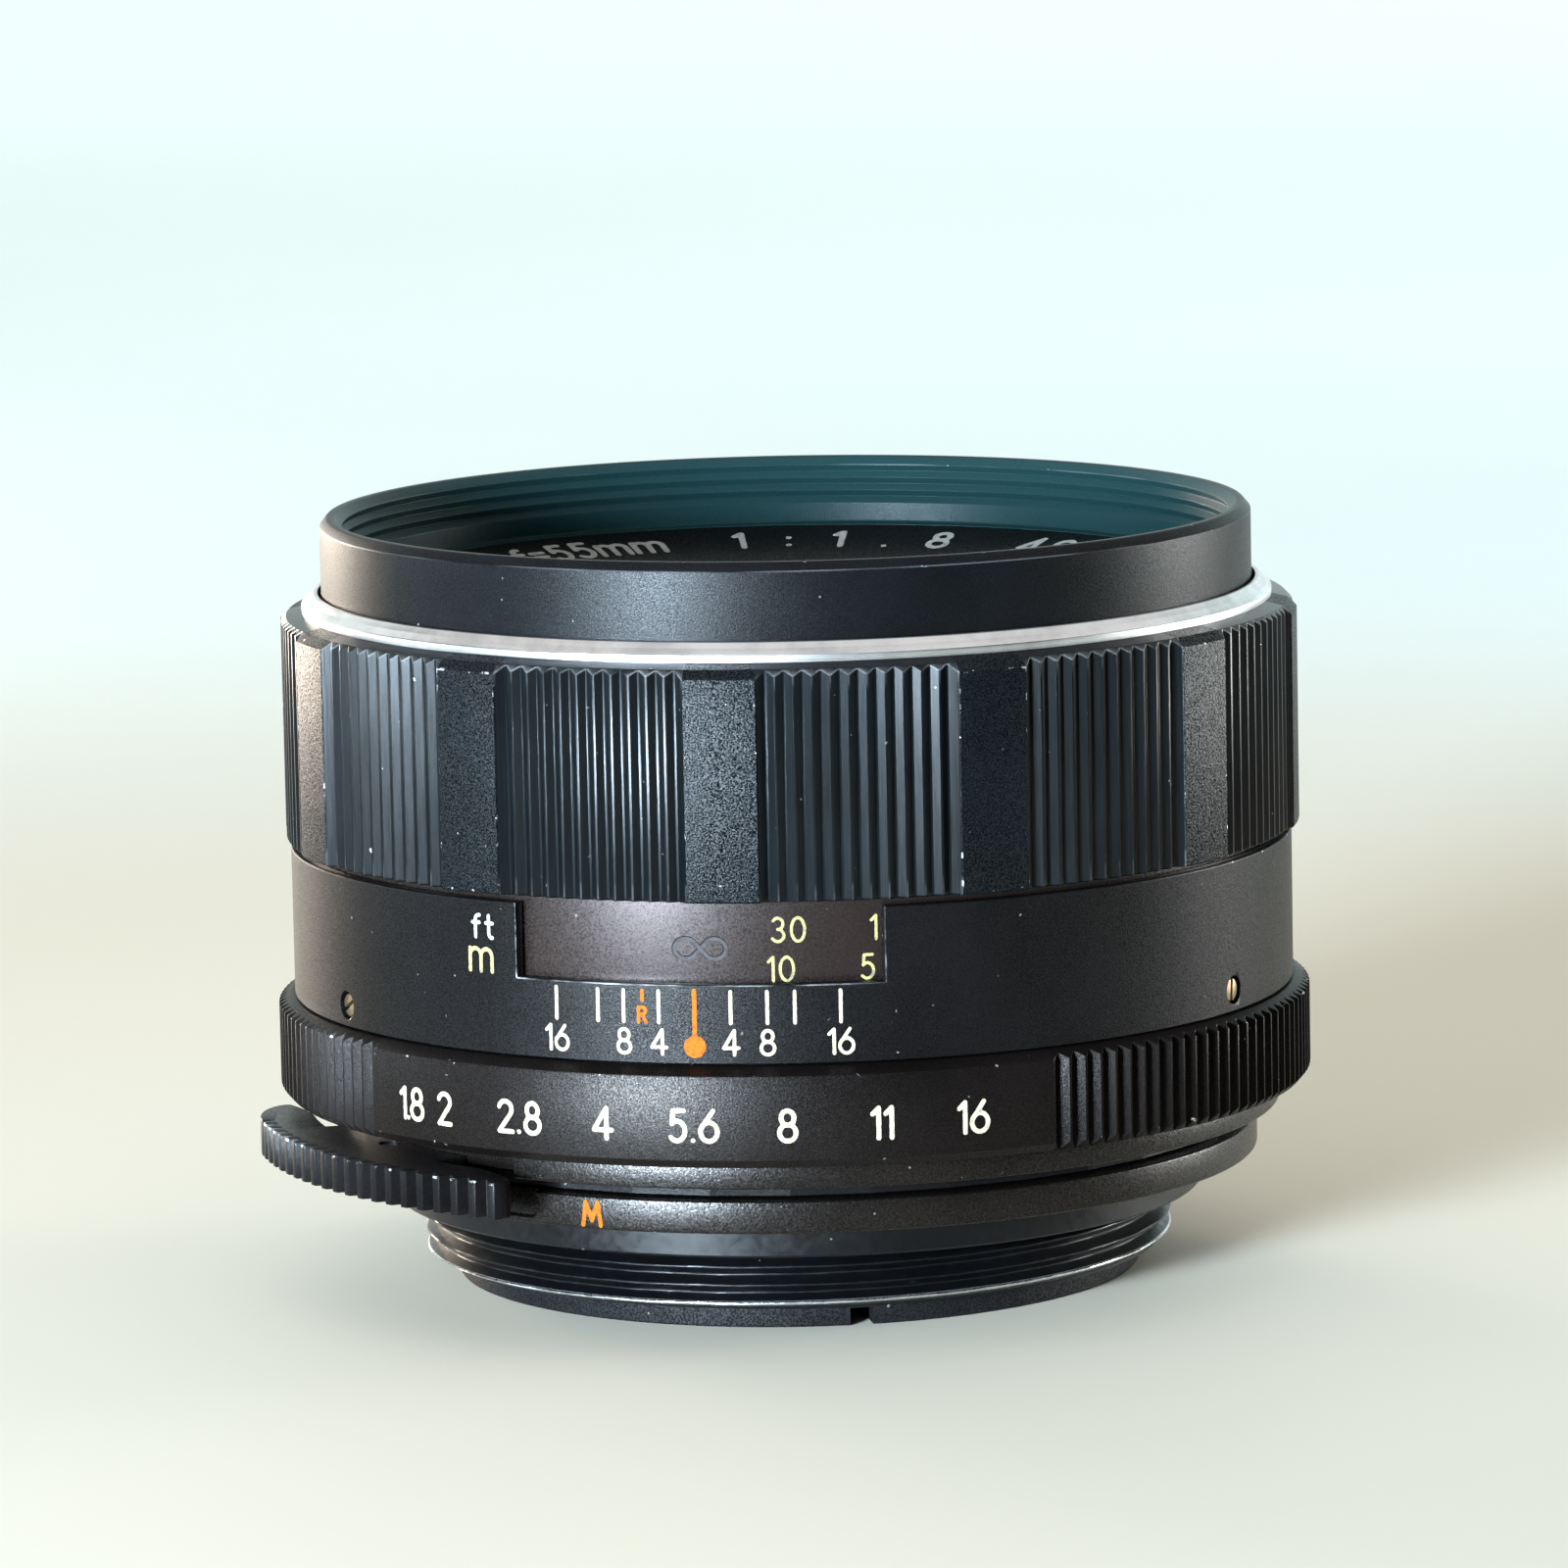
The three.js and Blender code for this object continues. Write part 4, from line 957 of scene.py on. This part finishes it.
def make_base():
    r, low, top = base_span.r, base_span.low, base_span.top
    outline = [(14.6, low, 0), (17.4, low, 0), (17.4, 8.3, 0), (19.4, 8.3, 0), (19.4, 9.2, 0)]
    outline += [(r, 9.2, 0.15), (r, top, 0.15), (14.6, top, 0)]
    body = turned("base_body_detail", outline)
    bore = shifted(rod("bore", PIN_BORE_R, low - 1, top + 1), beside_axis("aperture_pin"))
    carve(body, arc_band("pocket", POCKET_FLOOR, r + 1, *POCKET, 9, top + 1), bore)
    place(bevel(body, 0.06), "lens_body", "base", "base_body")
    r, low, top = cover_span.r, cover_span.low, cover_span.top
    cover = turned("base_cover_ring_detail", [(17.6, low, 0), (r, low, 0.25), (r, top, 0.15), (17.6, top, 0)])
    end = rod("pocket_end", POCKET_END_R, POCKET_FLOOR - r, 1)
    shifted(end, outward(POCKET[1], r, POCKET_LOW + POCKET_END_R))
    carve(cover, arc_band("pocket", POCKET_FLOOR, r + 1, *POCKET, POCKET_LOW, top + 1), end)
    place(bevel(cover, 0.06), "lens_body", "base", "base_cover_ring")
    letter = Lettering("mode_letter_m")
    letter.write("M", 1.5, 0.24, on_barrel(r, -14.5, 6.62))
    letter.build("lens_body", "orange")


LEVER_TEETH = 20
LEVER_ARC = (-68.0, -21.0)
LEVER_END = -77.0
LEVER_NECK = (-62.0, -34.5)
LEVER_VALLEY = 29.75
LEVER_INNER = 27.35
LEVER_NOSE_INNER = 28.6
LEVER_NECK_R = 25.3
LEVER_SCREW_R = 26.1
LEVER_SCREW_ANGLE = -48


def lever_inner(angle):
    """Radius of the lever's inner edge, which bends outwards at both ends."""
    far = max(0.0, 1 - (angle - LEVER_END) / 8)
    near = max(0.0, 1 - (LEVER_ARC[1] - angle) / 9)
    return LEVER_INNER + 1.15 * far ** 2 + 1.85 * near ** 2


def make_lever():
    """The toothed tab, rounded off at its far end, and the neck that ties it to its ring."""
    low, top = lever_span.low, lever_span.top
    start, end = LEVER_ARC
    pitch = (end - start) / LEVER_TEETH
    outline = []
    for turn in np.linspace(0, math.pi / 2, 13):
        across = LEVER_NOSE_INNER + (LEVER_TIP - LEVER_NOSE_INNER) * math.sin(turn)
        outline.append(polar(across, start - (start - LEVER_END) * math.cos(turn)).xy)
    for i in range(LEVER_TEETH):
        a = start + i * pitch
        outline += [polar(LEVER_VALLEY, a + pitch * 0.02).xy, polar(LEVER_VALLEY, a + pitch * 0.12).xy]
        outline += [polar(LEVER_TIP, a + pitch * 0.42).xy, polar(LEVER_TIP, a + pitch * 0.8).xy]
    outline.append(polar(LEVER_VALLEY, end).xy)
    outline += [polar(lever_inner(a), a).xy for a in np.linspace(end, LEVER_NECK[1], 16)]
    outline += [polar(LEVER_NECK_R, a).xy for a in np.linspace(LEVER_NECK[1], LEVER_NECK[0], 16)]
    outline += [polar(lever_inner(a), a).xy for a in np.linspace(LEVER_NECK[0], LEVER_END, 16)]
    lever = extruded("switch_lever_detail", outline, low, top)
    bevel(lever, 0.07, 2, 25.0)
    spot = Matrix.Translation(polar(LEVER_SCREW_R, LEVER_SCREW_ANGLE) * MM)
    carve(lever, shifted(rod("hole", 0.65, top - 0.6, top + 1), spot))
    place(lever, "mode_switch", "lever", "switch_lever")


# ---------------------------------------------------------------- screw mount and rear

THREAD_ROOT = 20.35
THREAD_FIRST = 1.7
THREAD_TURNS = 3
NOTCH_ANGLES = (21, 201)


def thread_radius(z, angle):
    """Radius of a right-handed thread of 1 mm pitch that runs in and out over half a turn."""
    phase = z - THREAD_FIRST - (angle / 360)
    distance = abs(phase - round(phase))
    tooth = max(0.0, min(1.0, 1.12 - distance * 2.5))
    low_fade = min(1.0, max(0.0, (z - thread_span.low) / 0.25))
    top_fade = min(1.0, max(0.0, (THREAD_FIRST + THREAD_TURNS - 0.35 - z) / 0.4))
    return THREAD_ROOT + (THREAD_CREST - THREAD_ROOT) * tooth * low_fade * top_fade


def make_mount():
    r, low, top = thread_span.r, thread_span.low, thread_span.top
    flange = 4.6
    heights = np.arange(low, THREAD_FIRST + THREAD_TURNS - 0.3, 0.04)
    columns = []
    for i in range(SEGMENTS):
        angle = 360 * i / SEGMENTS
        profile = [(19.35, low)] + [(thread_radius(z, angle), z) for z in heights]
        profile += [(THREAD_ROOT, flange - 0.03), (THREAD_ROOT + 0.03, flange)]
        profile += [(r - 0.12, flange), (r, flange + 0.12)]
        profile += [(r, top - 0.1), (r - 0.1, top), (17.6, top), (17.6, 3.4), (19.35, 3.4)]
        columns.append([polar(x, angle, z) for x, z in profile])
    place(loft("mount_thread_detail", columns, 40.0), "lens_body", "thread", "mount_thread_ring")
    r, top = guard_span.r, guard_span.top
    guard = turned("rear_guard_detail", [(17.8, 0, 0.12), (r, 0, 0.2), (r, top, 0.05), (17.8, top, 0.05)])
    notches = []
    for angle in NOTCH_ANGLES:
        turn = Matrix.Rotation(math.radians(angle), 4, "Z")
        notches.append(shifted(block("notch", (1.3, 4, 2), (0, -18.5, 0)), turn))
    place(carve(guard, *notches), "lens_body", "inside", "rear_guard_ring")


def make_rear():
    low, top = plate_span.low, plate_span.top
    plate = turned("rear_plate_detail", [(14.1, low, 0.1), (17.3, low, 0.1), (17.3, top, 0), (14.1, top, 0)])
    holes = [shifted(rod("hole", PIN_BORE_R, low - 1, top + 1), beside_axis("aperture_pin"))]
    for node in PLATE_SCREWS:
        holes.append(shifted(rod("hole", 0.7, low - 1, top + 1), beside_axis(node)))
    place(bevel(carve(plate, *holes), 0.05), "lens_body", "inside", "rear_plate")
    for node in PLATE_SCREWS:
        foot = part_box(node)[0].z / MM
        head = rod(node + "_detail", 1.0, foot, low)
        carve(head, block("slot", (3, 0.24, 0.4), (0, 0, foot)))
        place(shifted(bevel(head, 0.07), beside_axis(node)), "lens_body", "steel", node)
    pin_low, pin_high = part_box("aperture_pin")
    pin = bevel(rod("aperture_pin_detail", 0.7, pin_low.z / MM, pin_high.z / MM), 0.2, 4)
    place(shifted(pin, beside_axis("aperture_pin")), "stop_down_pin", "steel", "aperture_pin")
    cell = [(12.2, 0.8, 0.1), (13.7, 0.8, 0.15), (13.7, 12.6, 0), (19.2, 12.6, 0), (19.2, 13.8, 0)]
    cell += [(11.8, 13.8, 0), (11.8, 7.0, 0), (10.9, 7.0, 0), (10.9, 3.65, 0), (12.2, 3.65, 0)]
    place(turned("rear_cell_detail", cell), "optical_unit", "inside", "rear_cell")


# ---------------------------------------------------------------- optics seen through the glass

def sag(curvature, r):
    return math.copysign(abs(curvature) - math.sqrt(curvature ** 2 - r ** 2), curvature)


# Curvature radius and clear radius of each element's front and back surface. A positive
# curvature has its centre behind the surface.
ELEMENTS = {
    "front_element": (36.0, 16.2, 120.0, 16.2),
    "second_element": (21.5, 13.6, 38.0, 13.6),
    "third_element": (45.0, 12.4, 14.2, 10.6),
    "doublet_front_element": (-15.5, 9.6, 200.0, 11.6),
    "doublet_rear_element": (200.0, 11.5, -24.0, 11.5),
    "rear_element": (100.0, 12.0, -42.0, 12.0),
}


def make_element(node, front, front_clear, back, back_clear):
    """A polished element between its two surfaces, flat outside their clear radii."""
    low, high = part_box(node)
    r = high.x / MM
    steps = 24
    front_z = high.z / MM + min(0.0, sag(front, front_clear))
    back_z = low.z / MM + max(0.0, sag(back, back_clear))
    radii = [r * i / steps for i in range(steps + 1)]
    points = [(x, back_z - sag(back, min(x, back_clear)), 0) for x in radii]
    points += [(x, front_z - sag(front, min(x, front_clear)), 0) for x in reversed(radii)]
    finish = "front glass" if node == "front_element" else "glass"
    place(turned(node + "_detail", points, 128), "optical_unit", finish, node)


RINGS = {
    "front_retaining_ring": 15.0,
    "second_retaining_ring": 12.7,
    "doublet_retaining_ring": 9.9,
    "rear_retaining_ring": 11.2,
    "iris_drive_ring": 11.6,
}


def make_optics():
    for node, surfaces in ELEMENTS.items():
        make_element(node, *surfaces)
    for node, bore in RINGS.items():
        span = Span(node)
        outline = [(bore, span.low, 0.1), (span.r, span.low, 0)]
        outline += [(span.r, span.top, 0), (bore, span.top, 0.1)]
        body = "iris_drive" if node == "iris_drive_ring" else "optical_unit"
        place(turned(node + "_detail", outline, 128), body, "inside", node)
    barrel = [(10.8, 18.6), (19.2, 18.6), (19.2, 29.4, 0), (22.0, 29.4), (22.0, 30.6), (17.9, 30.6)]
    barrel += [(17.9, 34.5), (16.4, 34.5), (16.4, 31.15, 0), (13.8, 31.15, 0), (13.8, 24.6, 0)]
    barrel += [(12.6, 24.6, 0)]
    barrel += [(12.6, 19.93, 0), (10.8, 19.93, 0)]
    place(turned("lens_barrel_detail", barrel, 128), "optical_unit", "inside", "lens_barrel")


BLADE_PIVOT = 17.2
BLADE_INNER = 11.4
BLADE_OUTER = 15.2
BLADE_REST = 18.4


def make_blades():
    """Six crescents, each with a round ear at its pivot."""
    for i in range(6):
        node = "iris_blade_%d" % (i + 1)
        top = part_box(node)[1].z / MM
        outer = [polar(BLADE_OUTER, a).xy for a in np.linspace(4, 104, 50)]
        tip = [polar((BLADE_INNER + BLADE_OUTER) / 2, 107).xy]
        inner = [polar(BLADE_INNER, a).xy for a in np.linspace(104, -6, 56)]
        ear = [(0.95 * math.cos(t), 0.95 * math.sin(t) - BLADE_PIVOT) for t in np.linspace(-math.pi, 0, 12)]
        outline = outer + tip + inner + [polar(BLADE_OUTER, -5).xy] + [tuple(p) for p in ear]
        blade = extruded(node + "_detail", outline, top - 0.2, top)
        turn = Matrix.Rotation(math.radians(BLADE_REST), 4, "Z")
        pivot = Matrix.Translation((0, -BLADE_PIVOT * MM, 0))
        around = Matrix.Rotation(math.radians(60 * i), 4, "Z")
        shifted(blade, around @ pivot @ turn @ pivot.inverted())
        place(blade, "blade_%d" % (i + 1), "blade", node)


CAD_FINISHES = {
    "bare": ["main_body", "inner_helicoid"],
    "brass": ["guide_key_1", "guide_key_2", "focus_helicoid"],
    "lever": ["switch_ring"],
    "steel": ["aperture_click_ball", "switch_lever_screw", "focus_ring_screw_1",
              "focus_ring_screw_2", "focus_ring_screw_3"],
    "inside": ["iris_housing"],
}


def finish_cad_nodes():
    """Hidden and inner pieces keep their CAD shape and get their finish."""
    for finish, nodes in CAD_FINISHES.items():
        for node in nodes:
            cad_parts[node].data.materials.clear()
            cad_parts[node].data.materials.append(MATERIALS[finish])


# ---------------------------------------------------------------- studio

CAMERA_AZIMUTH = 11.0
CAMERA_DISTANCE = 502.25
CAMERA_HEIGHT = 101.27
CAMERA_PITCH = 0.1466
CAMERA_YAW = -0.0007
CAMERA_ROLL = 0.0203
CAMERA_LENS = 207.67


def make_camera():
    level = math.cos(CAMERA_PITCH)
    ahead = Vector((math.sin(CAMERA_YAW) * level, math.cos(CAMERA_YAW) * level, -math.sin(CAMERA_PITCH)))
    right = Vector((math.cos(CAMERA_YAW), -math.sin(CAMERA_YAW), 0))
    up = right.cross(ahead)
    rolled_right = right * math.cos(CAMERA_ROLL) - up * math.sin(CAMERA_ROLL)
    rolled_up = up * math.cos(CAMERA_ROLL) + right * math.sin(CAMERA_ROLL)
    axes = Matrix((rolled_right, rolled_up, -ahead)).transposed().to_4x4()
    spot = Matrix.Translation((0, -CAMERA_DISTANCE * MM, CAMERA_HEIGHT * MM))
    data = bpy.data.cameras.new("camera")
    data.lens = CAMERA_LENS
    data.sensor_width = 36.0
    data.clip_start = 0.01
    camera = bpy.data.objects.new("camera", data)
    bpy.context.scene.collection.objects.link(camera)
    camera.matrix_world = Matrix.Rotation(math.radians(CAMERA_AZIMUTH), 4, "Z") @ spot @ axes
    bpy.context.scene.camera = camera


def area_light(name, spot, size, power, tint=(1.0, 1.0, 1.0), aim_at=(0, 0, 20), spread=180.0):
    """A soft light at a spot in millimetres, aimed at the lens unless aim_at says where."""
    data = bpy.data.lights.new(name, "AREA")
    data.shape = "RECTANGLE"
    data.size, data.size_y = (s * MM for s in size)
    data.energy = power
    data.color = tint
    data.spread = math.radians(spread)
    light = bpy.data.objects.new(name, data)
    light.location = Vector(spot) * MM
    aim = Vector(aim_at) * MM - light.location
    light.rotation_euler = aim.to_track_quat("-Z", "Y").to_euler()
    bpy.context.scene.collection.objects.link(light)


FLOOR_TONE = (0.64, 0.594, 0.49, 1.0)
BACKDROP_TONE = (0.8, 0.91, 0.9, 1.0)


def stage_material():
    """Pale paper that turns from cream at the lens to pale mint further off."""
    shader = Shader("pale_stage", roughness=0.6, specular=0.2)
    r, angle, z = shader.cylinder()
    far = shader.ramp(r, 120.0, 330.0)
    mottle = shader.ramp(shader.noise(0.02, 3.0), 0.3, 0.7, 0.0, 0.04)
    tone = shader.blend(far, FLOOR_TONE, BACKDROP_TONE)
    shader.color(shader.blend(mottle, tone, (0.6, 0.6, 0.56, 1.0)))
    shader.feed(shader.surface.inputs["Emission Color"], BACKDROP_TONE)
    near = shader.ramp(r, 180.0, 560.0, 0.0, 0.3)
    glow = shader.math("ADD", near, shader.ramp(r, 700.0, 1300.0, 0.0, 0.3))
    shader.feed(shader.surface.inputs["Emission Strength"], glow)
    return shader.material


def make_stage():
    """A pale floor that sweeps up into a pale backdrop."""
    rows = [(-1400, 0), (900, 0)]
    for t in np.linspace(0.15, math.pi / 2, 10):
        rows.append((900 + 500 * math.sin(t), 500 - 500 * math.cos(t)))
    rows.append((1400, 1600))
    half = 1800
    points = [(x, y, z) for y, z in rows for x in (-half, half)]
    faces = [(2 * i, 2 * i + 1, 2 * i + 3, 2 * i + 2) for i in range(len(rows) - 1)]
    sweep = shifted(make("stage_sweep", points, faces), Matrix.Rotation(math.radians(CAMERA_AZIMUTH), 4, "Z"))
    sweep.data.materials.append(stage_material())


def make_lights():
    """A low window to the front left, low lights behind on both sides, and a broad one overhead."""
    world = bpy.data.worlds.new("studio")
    world.use_nodes = True
    world.node_tree.nodes["Background"].inputs[0].default_value = (0.8, 0.9, 0.92, 1.0)
    world.node_tree.nodes["Background"].inputs[1].default_value = 0.03
    bpy.context.scene.world = world
    bpy.context.scene.view_settings.view_transform = "Standard"
    turn = Matrix.Rotation(math.radians(CAMERA_AZIMUTH), 3, "Z")
    area_light("window", turn @ Vector((-380, -600, 80)), (200, 130), 2.5, (0.68, 0.85, 1.0), spread=50)
    area_light("overhead", turn @ Vector((0, 100, 900)), (2000, 2000), 10.6, (1.0, 0.99, 0.96), (0, 100, 0))
    area_light("left", turn @ Vector((-700, 60, 80)), (300, 140), 0.09, (0.75, 0.9, 1.0), spread=50)
    area_light("right", turn @ Vector((640, 230, 80)), (260, 140), 0.4, (0.97, 1.0, 0.98), spread=50)
    area_light("left_rear", turn @ Vector((-440, 615, 80)), (260, 140), 0.62, (1.0, 0.85, 0.7), spread=50)


make_camera()
make_filter_ring()
make_name_ring()
make_focus_ring()
make_trim_ring()
make_distance_drum()
make_scale_barrel()
make_scale_marks()
make_aperture_ring()
make_base()
make_lever()
make_mount()
make_rear()
make_optics()
make_blades()
finish_cad_nodes()
make_stage()
make_lights()
